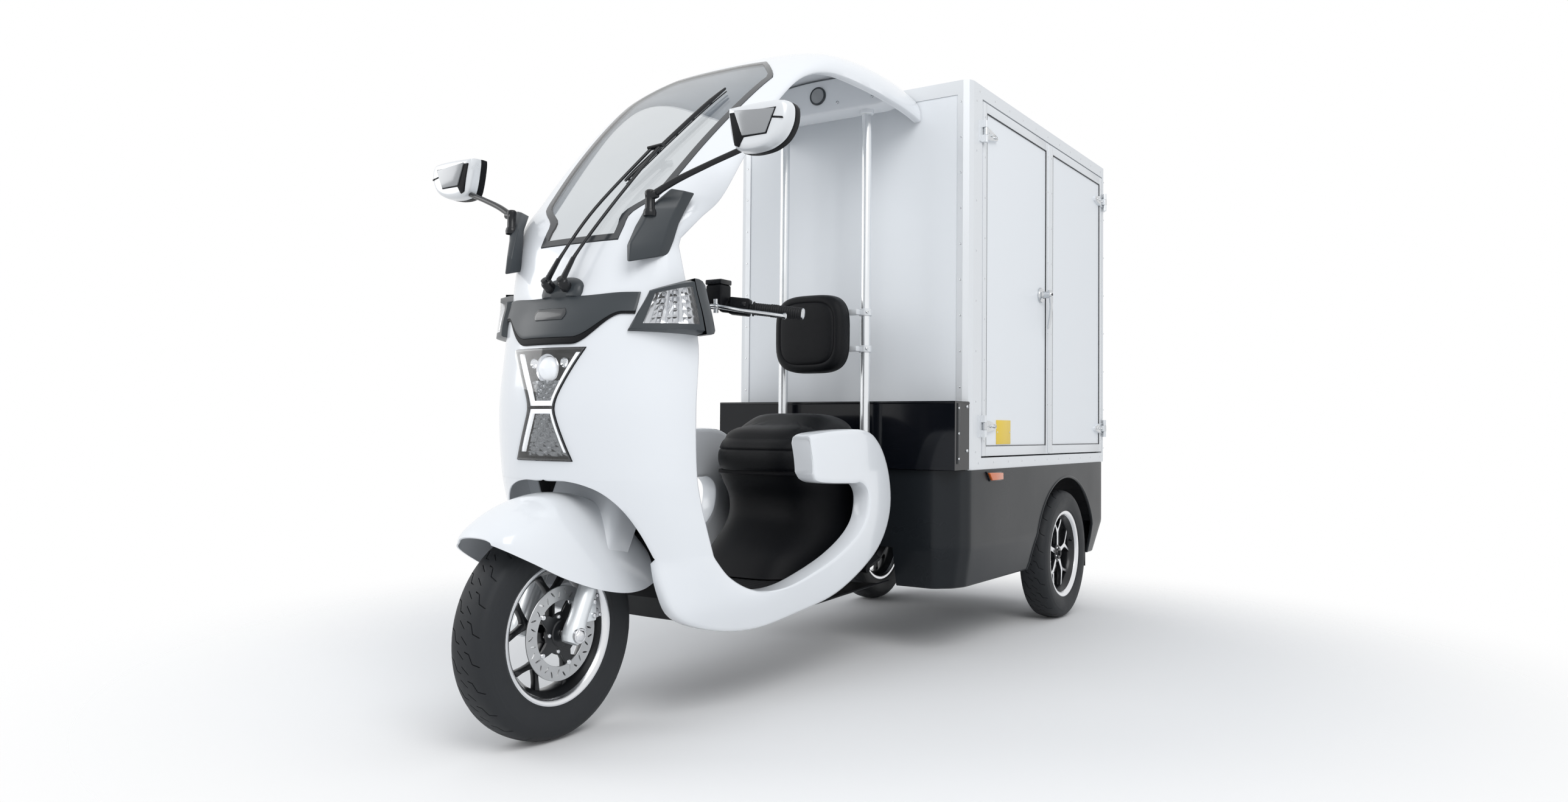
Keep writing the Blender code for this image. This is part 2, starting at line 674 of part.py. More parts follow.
def chassis_frame():
    """The head tube, down tube, floor rails, rear rails and cross members, welded as one."""
    head = turned("chassis_frame", [(0.030, HEAD_END), (0.030, HEAD_START), (HEAD_BORE, HEAD_START), (HEAD_BORE, HEAD_END)], STEER_FOOT, STEER_DIR, STEEL_BLACK, steps=12)
    behind_head = on_steering(HEAD_START + 0.05, -0.035)
    down = tube("down_tube", rounded([behind_head, (0, 0.455, 0.56), (0, 0.475, 0.275), (0, 0.527, RAIL_Z)], 0.04, 2), 0.022, resolution=1)
    tools = [down]
    for name, sign in (("left", 1), ("right", -1)):
        x = sign * RAIL_X
        rear_x = sign * REAR_RAIL_X
        path = [(x, 0.46, RAIL_Z), (x, 1.10, RAIL_Z), (sign * 0.16, 1.33, 0.30), (rear_x, 1.46, REAR_RAIL_Z),
                (rear_x, WHEELBASE + 0.38, REAR_RAIL_Z)]
        tools.append(tube("rail_" + name, rounded(path, 0.06, 2), RAIL_RADIUS, resolution=1))
        tools.append(rod("post_stub_" + name, (sign * POST_X, POST_Y, 0.275), (sign * POST_X, POST_Y, POST_FOOT), POST_RADIUS + 0.004, sides=10))
    # station, half length and height of each cross member
    crosses = [(0.52, 0.130, RAIL_Z), (0.90, 0.215, RAIL_Z), (POST_Y - 0.028, 0.190, 0.285), (BOX_FRONT + 0.155, 0.40, REAR_RAIL_Z),
               (WHEELBASE - 0.32, 0.40, REAR_RAIL_Z), (WHEELBASE + 0.32, 0.40, REAR_RAIL_Z)]
    for i, (y, half, z) in enumerate(crosses):
        tools.append(rod("cross_%d" % i, (-half, y, z), (half, y, z), 0.014, sides=8))
    return join(head, *tools)


def battery_pack():
    """The traction battery, one block slung between the rear rails."""
    x = REAR_RAIL_X - RAIL_RADIUS - 0.004
    return box("battery_pack", (-x, BOX_FRONT + 0.105, 0.330), (x, WHEELBASE - 0.355, REAR_RAIL_Z - 0.014 - GAP), STEEL_BLACK,
               bevel=0.008)


def rear_axle():
    """A live axle with its motor and gear housing, on two leaf springs hung from the rear rails."""
    z = TYRE_RADIUS
    inner = REAR_TRACK_HALF - 0.052
    beam = rod("rear_axle", (-inner, WHEELBASE, z), (inner, WHEELBASE, z), 0.028, STEEL_BLACK, sides=10)
    tools = [rod("spindles", (-REAR_TRACK_HALF - 0.030, WHEELBASE, z), (REAR_TRACK_HALF + 0.030, WHEELBASE, z), AXLE_RADIUS,
                 sides=AXLE_SIDES),
             rod("gear_case", (-0.075, WHEELBASE, z), (0.075, WHEELBASE, z), 0.085, sides=12),
             rod("motor", (0.03, WHEELBASE - 0.06, z + 0.020), (0.03, WHEELBASE - 0.25, z + 0.030), 0.075, sides=12)]
    for name, sign in (("left", 1), ("right", -1)):
        x = sign * REAR_RAIL_X
        low = z + 0.020
        eye = REAR_RAIL_Z - RAIL_FLAT - 0.016 - 2 * GAP
        count = 6
        outline = []
        for i in range(count + 1):
            t = i / count
            y = WHEELBASE - 0.30 + 0.60 * t
            outline.append((y, low + 0.016 + (eye - low - 0.016) * (2 * t - 1) ** 2))
        outline += [(y, h + 0.014) for y, h in reversed(outline)]
        tools.append(plate("leaf_" + name, outline, x - 0.025, x + 0.025, "YZ"))
        for end, y in (("front", WHEELBASE - 0.30), ("rear", WHEELBASE + 0.30)):
            tools.append(rod("eye_" + end + name, (x - 0.027, y, eye), (x + 0.027, y, eye), 0.016, sides=8))
        tools.append(box("saddle_" + name, (x - 0.032, WHEELBASE - 0.045, z - 0.030), (x + 0.032, WHEELBASE + 0.045, low + 0.036)))
    return join(beam, *tools)


# Front body

SHELL_TOP = 1.1717
# height, nose station, side edge station, half width
SHELL_ROWS = [
    (SHELL_TOP, 0.0798, 0.160, 0.262),
    (1.050, 0.030, 0.172, 0.276),
    (0.990, -0.002, 0.184, 0.282),
    (0.920, -0.017, 0.194, 0.288),
    (0.770, -0.031, 0.182, 0.292),
    (0.620, -0.022, 0.192, 0.289),
    (0.550, -0.008, 0.212, 0.287),
    (0.480, 0.014, 0.240, 0.286),
    (0.4205, 0.036, 0.266, 0.285),
]
SHELL_COLUMNS = 8
ARCH = [(0.0, 0.606), (0.070, 0.603), (0.120, 0.592), (0.158, 0.572), (0.190, 0.535), (0.212, 0.480), (0.226, 0.410),
        (0.232, 0.300)]


def shell_point(row, across):
    """A point on the front shell's plan curve; across runs from 0 at the nose to 1 at the side edge."""
    z, nose, edge, half = row
    a = across * pi / 2
    return Vector((half * sin(a), edge - (edge - nose) * cos(a), z))


def front_shell():
    """The painted leg shield, wrapped round the front, with the wheel's arch cut from its foot."""
    rows = []
    for row in SHELL_ROWS:
        line = [shell_point(row, i / SHELL_COLUMNS) for i in range(SHELL_COLUMNS + 1)]
        edge = line[-1]
        line.append(edge + Vector((-0.006, 0.012, 0)))
        line.append(edge + Vector((-FLANGE_WIDTH, FLANGE_DEPTH, 0)))
        rows.append(line)
    body = skin("front_shell", list(reversed(rows)), SHELL_WALL, WHITE_PAINT, inward=True)
    outline = [(x, z) for x, z in reversed(ARCH)] + [(-x, z) for x, z in ARCH[1:]]
    arch = plate("front_arch", outline, -0.30, 0.235, "XZ")
    seats = [slab("lamp_seat", lamp_rows(-0.016, SEAM), lamp_rows(0.024, SEAM)),
             slab("trim_seat", trim_rows(-0.016, SEAM), trim_rows(0.024, SEAM))]
    return cut(body, arch, *seats)


# lower or rear edge of the rail: x, y, z; then its upper or inner edge: x, y, z
HOOP_SECTIONS = [
    (0.228, 0.130, 0.420, 0.285, 0.266, 0.420),
    (0.238, 0.150, 0.345, 0.288, 0.322, 0.366),
    (0.250, 0.196, 0.276, 0.292, 0.400, 0.326),
    (0.262, 0.320, 0.234, 0.296, 0.480, 0.308),
    (0.272, 0.480, 0.218, 0.300, 0.580, 0.308),
    (0.290, 0.850, 0.266, 0.307, 0.820, 0.362),
    (0.297, 1.010, 0.330, 0.310, 0.925, 0.408),
    (0.302, 1.105, 0.402, 0.312, 0.985, 0.456),
    (0.305, 1.146, 0.497, 0.313, 1.004, 0.510),
    (0.305, 1.128, 0.606, 0.313, 0.996, 0.552),
    (0.305, 1.062, 0.690, 0.313, 0.958, 0.578),
    (0.305, 0.960, 0.722, 0.313, 0.900, 0.580),
    (0.303, 0.712, 0.710, 0.311, 0.722, 0.590),
    (0.296, 0.684, 0.690, 0.304, 0.690, 0.612),
]
HOOP_DEPTH = 0.058
HOOP_BULGE = [0.0155, 0.011, 0.007, 0.003]


def side_hoop():
    """The painted rail below the floor that rises behind the legs and ends beside the seat."""
    sections = []
    last = len(HOOP_SECTIONS) - 1
    for i, (ox, oy, oz, ix, iy, iz) in enumerate(HOOP_SECTIONS):
        outer = Vector((ox, oy, oz))
        inner = Vector((ix, iy, iz))
        depth = HOOP_DEPTH * (0.75 if i == 0 else 0.86 if i == last else 1.0)
        middle = (outer + inner) / 2 - Vector((depth / 2, 0, 0))
        half = (inner - outer) / 2
        bulge = HOOP_BULGE[i] if i < len(HOOP_BULGE) else 0.0
        ring = []
        for a, b in round_rectangle(1.0, depth / 2, 4.5, 10):
            crown = bulge * (1 - a * a) * (b / depth + 0.5)
            ring.append(middle + half * a + Vector((b + crown, 0, 0)))
        sections.append(ring)
    return loft("side_hoop_left", sections, WHITE_PAINT)


# height at the centre and at the wing's tip, of each row of the panel
TRIM_ROWS = [(0.922, 0.992), (0.960, 1.005), (1.000, 1.021), (1.038, 1.044)]


TRIM_REACH = 0.57            # how far round the shell the wings run


def trim_rows(proud, grow=0.0):
    """The trim panel's grid at some height off the shell, its outline grown all round."""
    rows = []
    last = len(TRIM_ROWS) - 1
    for n, (middle, tip) in enumerate(TRIM_ROWS):
        line = []
        for i in range(8):
            t = i / 7 * TRIM_REACH
            rise = min(1.0, max(0.0, (t - 0.20) / 0.36)) ** 1.2
            z = middle + (tip - middle) * rise + (-grow if n == 0 else grow if n == last else 0)
            line.append(on_shell(t + (grow * 3 if i == 7 else 0), z, proud))
        rows.append(line)
    return rows


def front_trim_panel():
    """The dark panel over the lamp, seated in the shell, whose wings run out to the side lamps."""
    return slab("front_trim_panel", trim_rows(-SHELL_WALL), trim_rows(0.0060), GREY_TRIM)


def shell_row_at(z):
    """The shell's row at any height, between the rows of its table."""
    rows = SHELL_ROWS
    for high, low in zip(rows, rows[1:]):
        if low[0] <= z <= high[0]:
            t = (z - low[0]) / (high[0] - low[0])
            return tuple(b + (a - b) * t for a, b in zip(high, low))
    return rows[0] if z > rows[0][0] else rows[-1]


def on_shell(across, z, proud):
    """A point on the shell, moved out from its surface."""
    row = shell_row_at(z)
    point = shell_point((z,) + row[1:], across)
    tangent = shell_point((z,) + row[1:], across + 0.01) - shell_point((z,) + row[1:], across - 0.01)
    normal = Vector((tangent.y, -tangent.x, 0)).normalized()
    if normal.y > 0 and across < 0.95:
        normal = -normal
    return point + normal * proud


# height and half width of the lamp's hourglass outline
LAMP_OUTLINE = [(0.650, 0.090), (0.700, 0.068), (0.745, 0.050), (0.772, 0.043), (0.800, 0.050), (0.860, 0.082), (0.914, 0.115)]


def lamp_rows(proud, grow=0.0):
    """The lamp's grid at some height off the shell, its outline grown all round."""
    rows = []
    last = len(LAMP_OUTLINE) - 1
    for n, (z, half) in enumerate(LAMP_OUTLINE):
        level = z + (-grow if n == 0 else grow if n == last else 0)
        half_row = shell_row_at(level)[3]
        rows.append([on_shell(2 / pi * asin_safe((half + 1.7 * grow) * i / 4 / half_row), level, proud) for i in range(5)])
    return rows


def headlight():
    """The hourglass lamp, a lens over its housing, seated in the shell and a little proud of it."""
    return slab("headlight", lamp_rows(-SHELL_WALL), lamp_rows(0.0080), LENS_CLEAR)


def asin_safe(value):
    return atan2(value, max(1e-9, 1 - value * value) ** 0.5)


# place round the shell, depth off it, bottom and top of each section of the side lamp
POD_SECTIONS = [(0.625, 0.010, 1.004, 1.040), (0.750, 0.026, 0.978, 1.060), (0.875, 0.044, 0.956, 1.074), (1.0, 0.054, 0.950, 1.078)]
POD_TAIL = 0.045             # how far it runs on behind the shell's edge


def indicator(name="indicator_left"):
    """A side lamp pod on the shell's widest part, its front face raked."""
    sections = []
    for across, depth, low, high in POD_SECTIONS:
        ring = []
        for z, out in ((low, -0.010), (low, depth * 0.75), (low + 0.02, depth), (high - 0.02, depth),
                       (high, depth * 0.75), (high, -0.010)):
            ring.append(on_shell(across, z, out))
        sections.append(ring)
    tail = [p + Vector((0 if i in (0, 5) else -0.018, POD_TAIL, 0.010 if i < 3 else -0.008)) for i, p in enumerate(sections[-1])]
    sections.append(tail)
    return cut(loft(name, sections, GREY_TRIM), shell_tool("pod_seat"))


def shell_tool(name):
    """The shell's own form, grown by the gap, to fit what lies on it."""
    grids = []
    for proud in (-0.050, SEAT_GAP):
        rows = []
        for z in [row[0] for row in reversed(SHELL_ROWS[:5])]:
            line = [on_shell(i / SHELL_COLUMNS, z, proud) for i in range(SHELL_COLUMNS + 1)]
            line.append(line[-1] + Vector((0, POD_TAIL + 0.02, 0)))
            rows.append(line)
        grids.append(rows)
    return slab(name, *grids)


# Canopy

# centre station and height, side edge x, station and height
CANOPY_ROWS = [
    (0.078, 1.1690, 0.263, 0.158, 1.1690),
    (0.132, 1.2620, 0.300, 0.205, 1.2240),
    (0.202, 1.3520, 0.302, 0.262, 1.2900),
    (0.302, 1.4640, 0.303, 0.350, 1.4040),
    (0.420, 1.5800, 0.303, 0.430, 1.5050),
    (0.540, 1.6820, 0.303, 0.520, 1.6050),
    (0.670, 1.7730, 0.303, 0.630, 1.6900),
    (0.820, 1.8400, 0.303, 0.770, 1.7400),
    (0.980, 1.8770, 0.303, 0.960, 1.7560),
    (1.130, 1.8910, 0.300, 1.130, 1.7600),
    (1.270, 1.8930, 0.293, 1.270, 1.7600),
    (1.3900, 1.8880, 0.280, 1.3900, 1.7580),
]
CANOPY_POWER = 2.6
CANOPY_COLUMNS = 8


def canopy_point(row, across, proud=0.0):
    """A point of the canopy's arched section; across runs from 0 at the centre to 1 at the edge."""
    cy, cz, ex, ey, ez = row
    a = across * pi / 2
    side = sin(a) ** (2 / CANOPY_POWER) if across > 0 else 0.0
    rise = cos(a) ** (2 / CANOPY_POWER) if across < 1 else 0.0
    point = Vector((ex * side, ey + (cy - ey) * rise, ez + (cz - ez) * rise))
    if proud:
        n = Vector((0.35 * side, -1, 1)) if cy < 0.75 else Vector((0.35 * side, 0, 1))
        point += n.normalized() * proud
    return point


def canopy_row_at(s):
    """The canopy's row at a fractional row number."""
    i = min(int(s), len(CANOPY_ROWS) - 2)
    t = s - i
    return tuple(a + (b - a) * t for a, b in zip(CANOPY_ROWS[i], CANOPY_ROWS[i + 1]))


# fractional canopy row and half width of the screen's outline
SCREEN_OUTLINE = [(0.09, 0.128), (0.80, 0.133), (1.15, 0.170), (1.40, 0.192), (2.00, 0.205), (3.00, 0.222),
                  (4.00, 0.238), (5.00, 0.251), (5.20, 0.251), (5.60, 0.205), (5.95, 0.158)]


def screen_line(s, half, proud, count=4):
    row = canopy_row_at(s)
    line = []
    for i in range(count + 1):
        x = half * i / count
        ratio = min(1.0, x / row[2])
        across = 2 / pi * asin_safe(ratio ** (CANOPY_POWER / 2)) if ratio < 1 else 1.0
        line.append(canopy_point(row, across, proud))
    return line


def screen_rows(proud, grow=0.0):
    """The screen's grid at some height off the canopy, its outline grown all round."""
    last = len(SCREEN_OUTLINE) - 1
    return [screen_line(s + (-0.25 if grow and n == 0 else 7 * grow if n == last else 0), half + grow, proud)
            for n, (s, half) in enumerate(SCREEN_OUTLINE)]


def windscreen():
    """The clear screen, notched at its lower corners, seated in the canopy's opening."""
    return slab("windscreen", screen_rows(-0.0035), screen_rows(0.0015), TINTED)


def canopy_shell():
    """The painted canopy: two pillars, the roof and its rear skirt, in one moulding with the screen's opening cut."""
    rows = []
    for s in [0.0, 1.0, 2.0, 3.0, 4.0, 5.0, 6.0, 7.0, 8.0, 9.0, 10.0, 11.0]:
        row = canopy_row_at(s)
        line = [canopy_point(row, i / CANOPY_COLUMNS) for i in range(CANOPY_COLUMNS + 1)]
        edge = line[-1]
        line.append(edge + Vector((-0.022, 0.004, -0.004 if s > 0 else 0.0)))
        rows.append(line)
    body = skin("canopy_shell", rows, SHELL_WALL, WHITE_PAINT, inward=True)
    foot = box("canopy_foot", (-0.40, -0.10, 1.10), (0.40, 0.30, SHELL_TOP + 2 * GAP))
    opening = slab("screen_opening", screen_rows(-0.030, SEAM), screen_rows(0.040, SEAM))
    return cut(body, foot, opening)


BEAM_FRONT = 1.195
BEAM_REAR = 1.290


def roof_beam():
    """The moulded beam under the roof, with its lamp boss and the two collars that hold the posts."""
    outline = [(-0.262, 1.782), (-0.215, 1.772), (0.215, 1.772), (0.262, 1.782), (0.262, 1.800), (0.225, 1.845), (0.150, 1.874),
               (0.0, 1.884), (-0.150, 1.874), (-0.225, 1.845), (-0.262, 1.800)]
    beam = plate("roof_beam", outline, BEAM_FRONT, BEAM_REAR, "XZ", WHITE_PAINT, bevel=0.006, segments=1)
    lamp = rod("beam_lamp", (0, BEAM_FRONT + 0.004, 1.832), (0, BEAM_FRONT - 0.007, 1.832), 0.024, sides=16)
    collars = [rod("collar_" + n, (s * POST_X, POST_Y, 1.760), (s * POST_X, POST_Y, 1.780), POST_RADIUS + 0.007)
               for n, s in (("left", 1), ("right", -1))]
    sockets = [rod("socket_" + n, (s * POST_X, POST_Y, 1.700), (s * POST_X, POST_Y, POST_TOP), POST_RADIUS + GAP, sides=10)
               for n, s in (("left", 1), ("right", -1))]
    return cut(join(beam, lamp, *collars), *sockets)


def post():
    """A roof post with the two clamps that carry the backrest."""
    tube_up = rod("post_left", (POST_X, POST_Y, POST_FOOT + GAP), (POST_X, POST_Y, POST_TOP - GAP), POST_RADIUS, ALUMINIUM, sides=10)
    clamps = []
    for name, z in (("lower", 0.991), ("upper", 1.110)):
        clamps.append(rod("clamp_" + name, (POST_X, POST_Y, z - 0.011), (POST_X, POST_Y, z + 0.011), POST_RADIUS + 0.005, sides=10))
        clamps.append(box("clamp_arm_" + name, (POST_X - 0.054, POST_Y - 0.044, z - 0.009), (POST_X - 0.008, POST_Y, z + 0.009)))
    return join(tube_up, *clamps)


def backrest():
    """The padded back, crowned in front, with a flat rear."""
    front = 1.128
    rear = POST_Y - 0.044 - GAP
    middle_z = 1.040
    sections = []
    # station, half width, half height
    for y, half_x, half_z in ((front, 0.088, 0.088), (front + 0.006, 0.112, 0.110), (front + 0.022, 0.128, 0.124),
                              (rear - 0.014, 0.132, 0.128), (rear - 0.003, 0.128, 0.124), (rear, 0.120, 0.116)):
        sections.append([Vector((a, y, middle_z + b)) for a, b in round_rectangle(half_x, half_z, 3.6, 16)])
    return loft("backrest", sections, BLACK_VINYL)


# Cabin


# station and height of the floor along its centre
FLOOR_PROFILE = [(0.400, 0.300), (0.440, 0.288), (0.520, FLOOR_Z), (0.700, FLOOR_Z + 0.002), (0.860, FLOOR_Z + 0.010),
                 (1.000, FLOOR_Z + 0.034), (1.120, FLOOR_Z + 0.070), (1.195, FLOOR_Z + 0.100)]
FLOOR_HALF = 0.222
FLANGE_RISE = 0.022


def floor_row(y, z, reach=0.0):
    row = [Vector((0, y, z)), Vector((0.17, y, z)), Vector((FLOOR_HALF - 0.016, y, z + 0.010)),
           Vector((FLOOR_HALF, y, z + FLANGE_RISE))]
    if reach:
        row.append(Vector((reach, y, z + FLANGE_RISE)))
    return row


def floor_tool(name):
    """Everything below the floor's upper face, to fit what stands on it."""
    ends = [(FLOOR_PROFILE[0][0] - 0.04, FLOOR_PROFILE[0][1])] + FLOOR_PROFILE + [(FLOOR_PROFILE[-1][0] + 0.06, FLOOR_PROFILE[-1][1] + 0.03)]
    top = [floor_row(y, z + GAP, 0.30) for y, z in ends]
    bottom = [[Vector((p.x, p.y, 0.15)) for p in row] for row in top]
    return slab(name, bottom, top)


def floor_board():
    """The floor: flat in front, rising in a curve at its rear, with raised side flanges."""
    body = skin("floor_board", [floor_row(y, z) for y, z in FLOOR_PROFILE], FLOOR_WALL, BLACK_PLASTIC, inward=True)
    tube_way = box("tube_way", (-0.028, 0.38, 0.20), (0.028, 0.552, 0.40))
    return cut(body, tube_way)


def belly_pan():
    """The pan below the rails, from behind the front wheel to the skirt, hung from the rails on four tabs."""
    rows = []
    # station, height, half width
    for y, z, half in ((0.300, 0.455, 0.150), (0.305, 0.380, 0.180), (0.330, 0.290, 0.200), (0.400, 0.224, 0.212), (0.500, 0.200, 0.216),
                       (0.700, 0.202, 0.220), (0.900, 0.208, 0.222), (1.080, 0.216, 0.224), (1.285, 0.224, 0.226)):
        rows.append([Vector((0, y, z)), Vector((half * 0.5, y, z)), Vector((half * 0.85, y + 0.002, z + 0.004)),
                     Vector((half, y + 0.006, z + 0.018))])
    pan = skin("belly_pan", rows, 0.004, BLACK_PLASTIC, inward=False)
    tabs = [box("pan_tab_%d_%d" % (side, k), (side * RAIL_X - 0.012, y - 0.015, 0.2005), (side * RAIL_X + 0.012, y + 0.015, RAIL_Z - RAIL_FLAT - GAP))
            for side in (-1, 1) for k, y in enumerate((0.620, 0.800))]
    return join(pan, *tabs)


FLANGE_DEPTH = 0.016         # how far the shell's return reaches back from its edge
FLANGE_WIDTH = 0.030
PANEL_WALL = 0.004
# height and centre station of the panel behind the shell; below it, also edge station and half width
PANEL_FOOT = [(0.270, 0.535, 0.410, 0.212), (0.360, 0.512, 0.360, 0.226)]
PANEL_ROWS = [(0.450, 0.500), (0.550, 0.496), (0.620, 0.490), (0.770, 0.466), (0.920, 0.436), (0.972, 0.330)]


def inner_panel():
    """The rider's side of the leg shield, bulged over the steering column, with the dash on top."""
    table = list(PANEL_FOOT)
    for z, centre_y in PANEL_ROWS:
        row = shell_row_at(z)
        table.append((z, centre_y, row[2] + FLANGE_DEPTH + PANEL_WALL + 2 * GAP, row[3] - FLANGE_WIDTH + 0.010))
    rows = []
    for z, centre_y, edge_y, half in table:
        line = []
        for i in range(7):
            t = i / 6
            bulge = cos(min(1.0, t / 0.78) * pi / 2) ** 1.4
            line.append(Vector((half * t, edge_y + (centre_y - edge_y) * bulge, z)))
        rows.append(line)
    body = skin("inner_panel", rows, PANEL_WALL, BLACK_PLASTIC, inward=False)
    passage = rod("stem_passage", on_steering(HEAD_END + 0.012), on_steering(BAR_AT + 0.10), 0.034)
    return cut(body, passage, floor_tool("panel_foot"))


# height, front station, rear station, half width in front, half width behind
PEDESTAL = [(0.285, 0.735, 1.120, 0.150, 0.214), (0.345, 0.780, 1.180, 0.150, 0.222), (0.400, 0.850, 1.200, 0.146, 0.234),
            (0.450, 0.895, 1.205, 0.146, 0.238), (0.505, 0.900, 1.206, 0.150, 0.240), (0.555, 0.870, 1.207, 0.158, 0.240),
            (0.590, 0.850, 1.208, 0.160, 0.238)]


def cabin_section(z, front, rear, half_front, half_rear, power=5.0, count=20):
    ring = []
    for a, b in round_rectangle(1.0, 1.0, power, count):
        t = (b + 1) / 2
        half = half_front + (half_rear - half_front) * min(1.0, t * 1.6)
        ring.append(Vector((a * half, front + (rear - front) * t, z)))
    return ring


def seat_base():
    """The moulded pedestal, waisted below the seat and spread at the floor."""
    body = loft("seat_base", [cabin_section(z + 0.012, *row) for z, *row in PEDESTAL], BLACK_PLASTIC)
    return cut(body, floor_tool("pedestal_foot"))


# height, front station, rear station, half width in front, half width behind
CUSHION = [(0.6025, 0.842, 1.206, 0.158, 0.186), (0.622, 0.828, 1.210, 0.166, 0.192), (0.660, 0.832, 1.212, 0.166, 0.190),
           (0.700, 0.858, 1.210, 0.160, 0.184)]


def seat_cushion():
    """The saddle: a lower front and a raised rear, rounded over."""
    sections = [cabin_section(z, *row, power=4.0) for z, *row in CUSHION]
    for shrink, rise in ((0.86, 0.030), (0.62, 0.044)):
        ring = []
        for p in cabin_section(0.700, *CUSHION[-1][1:], power=4.0):
            middle = Vector((0, 1.045, 0))
            q = middle + (p - middle) * shrink
            ramp = min(1.0, max(0.0, (q.y - 0.960) / 0.080))
            step = ramp * ramp * (3 - 2 * ramp)
            ring.append(Vector((q.x, q.y, 0.700 + rise * (0.95 + 0.80 * step))))
        sections.append(ring)
    return loft("seat_cushion", sections, BLACK_VINYL)


# Mirrors and wiper

MIRROR_CENTRE = Vector((0.505, 0.142, 1.402))


def mirror():
    """A faceted bracket on the pillar, a pivot post, an arm and the shell of the glass."""
    bracket_rows = [
        [(0.212, 0.098, 1.155), (0.196, 0.050, 1.150), (0.226, 0.058, 1.150), (0.262, 0.128, 1.158)],
        [(0.226, 0.106, 1.200), (0.196, 0.048, 1.205), (0.232, 0.052, 1.212), (0.276, 0.132, 1.205)],
        [(0.2420, 0.130, 1.238), (0.212, 0.074, 1.250), (0.236, 0.074, 1.250), (0.288, 0.146, 1.238)],
        [(0.262, 0.172, 1.300), (0.250, 0.142, 1.322), (0.262, 0.142, 1.322), (0.296, 0.182, 1.300)],
    ]
    bracket = loft("mirror_left", [[Vector(p) for p in row] for row in bracket_rows], GREY_TRIM)
    foot = Vector((0.229, 0.082, 1.226))
    head = Vector((0.229, 0.082, 1.288))
    socket = rod("mirror_post", foot, head, 0.012, sides=10)
    tip = MIRROR_CENTRE + Vector((-0.048, -0.006, -0.042))
    arm = tube("mirror_arm", [head - Vector((0, 0, 0.018)), head.lerp(tip, 0.5) + Vector((0, 0, 0.004)), tip], 0.0065,
               resolution=1)
    # station back from the front of the housing, half width, half height
    rings = []
    for back, half_x, half_z in ((0.0, 0.052, 0.024), (0.010, 0.078, 0.042), (0.030, 0.088, 0.050), (0.048, 0.090, 0.052)):
        ring = []
        for a, b in round_rectangle(half_x, half_z, 3.5, 12):
            lean = 0.10 * b
            ring.append(MIRROR_CENTRE + Vector((a - lean * 0.4, back - 0.020, b)))
        rings.append(ring)
    housing = loft("mirror_housing", rings)
    return join(bracket, socket, arm, housing)


def cowl_rows(proud):
    return [[on_shell(across, z, proud) for across in (0.0, 1 / SHELL_COLUMNS, 0.125)] for z in (1.058, 1.080)]


def wiper():
    """A parallel-arm wiper: two arms from the pivots on the cowl, the link and the blade."""
    pivot_a = Vector((-0.022, 0.018, 1.062))
    pivot_b = Vector((0.030, 0.018, 1.062))
    link = on_screen(2.55, 0.112, 0.030)
    foot = slab("wiper", cowl_rows(0.0007), cowl_rows(0.018), BLACK_PLASTIC)
    tools = []
    for name, pivot, shift in (("a", pivot_a, -0.010), ("b", pivot_b, 0.014)):
        tools.append(rod("wiper_pivot_" + name, pivot + Vector((0, 0.010, -0.002)), pivot + Vector((0, -0.016, 0.020)), 0.014,
                         sides=8))
        start = pivot + Vector((0, -0.012, 0.016))
        mid = start.lerp(link, 0.5) + Vector((shift * 0.6, -0.012, 0.012))
        tools.append(tube("wiper_arm_" + name, [start, mid, link + Vector((shift, 0, 0))], 0.0055, resolution=1))
    blade = [on_screen(s, x, 0.018) for s, x in ((1.75, 0.072), (2.30, 0.096), (3.00, 0.122), (3.70, 0.142), (4.45, 0.160))]
    tools.append(tube("wiper_blade", blade, 0.0075, resolution=1))
    tools.append(rod("wiper_link", link + Vector((-0.016, -0.002, 0)), link + Vector((0.022, 0.004, 0.004)), 0.012, sides=8))
    tools.append(rod("wiper_clip", link, on_screen(2.60, 0.108, 0.014), 0.009, sides=6))
    return join(foot, *tools)


def on_screen(s, x, proud):
    row = canopy_row_at(s)
    across = 2 / pi * asin_safe(min(0.999, abs(x) / row[2]) ** (CANOPY_POWER / 2))
    point = canopy_point(row, across, proud)
    return Vector((point.x if x >= 0 else -point.x, point.y, point.z))


# Cargo box

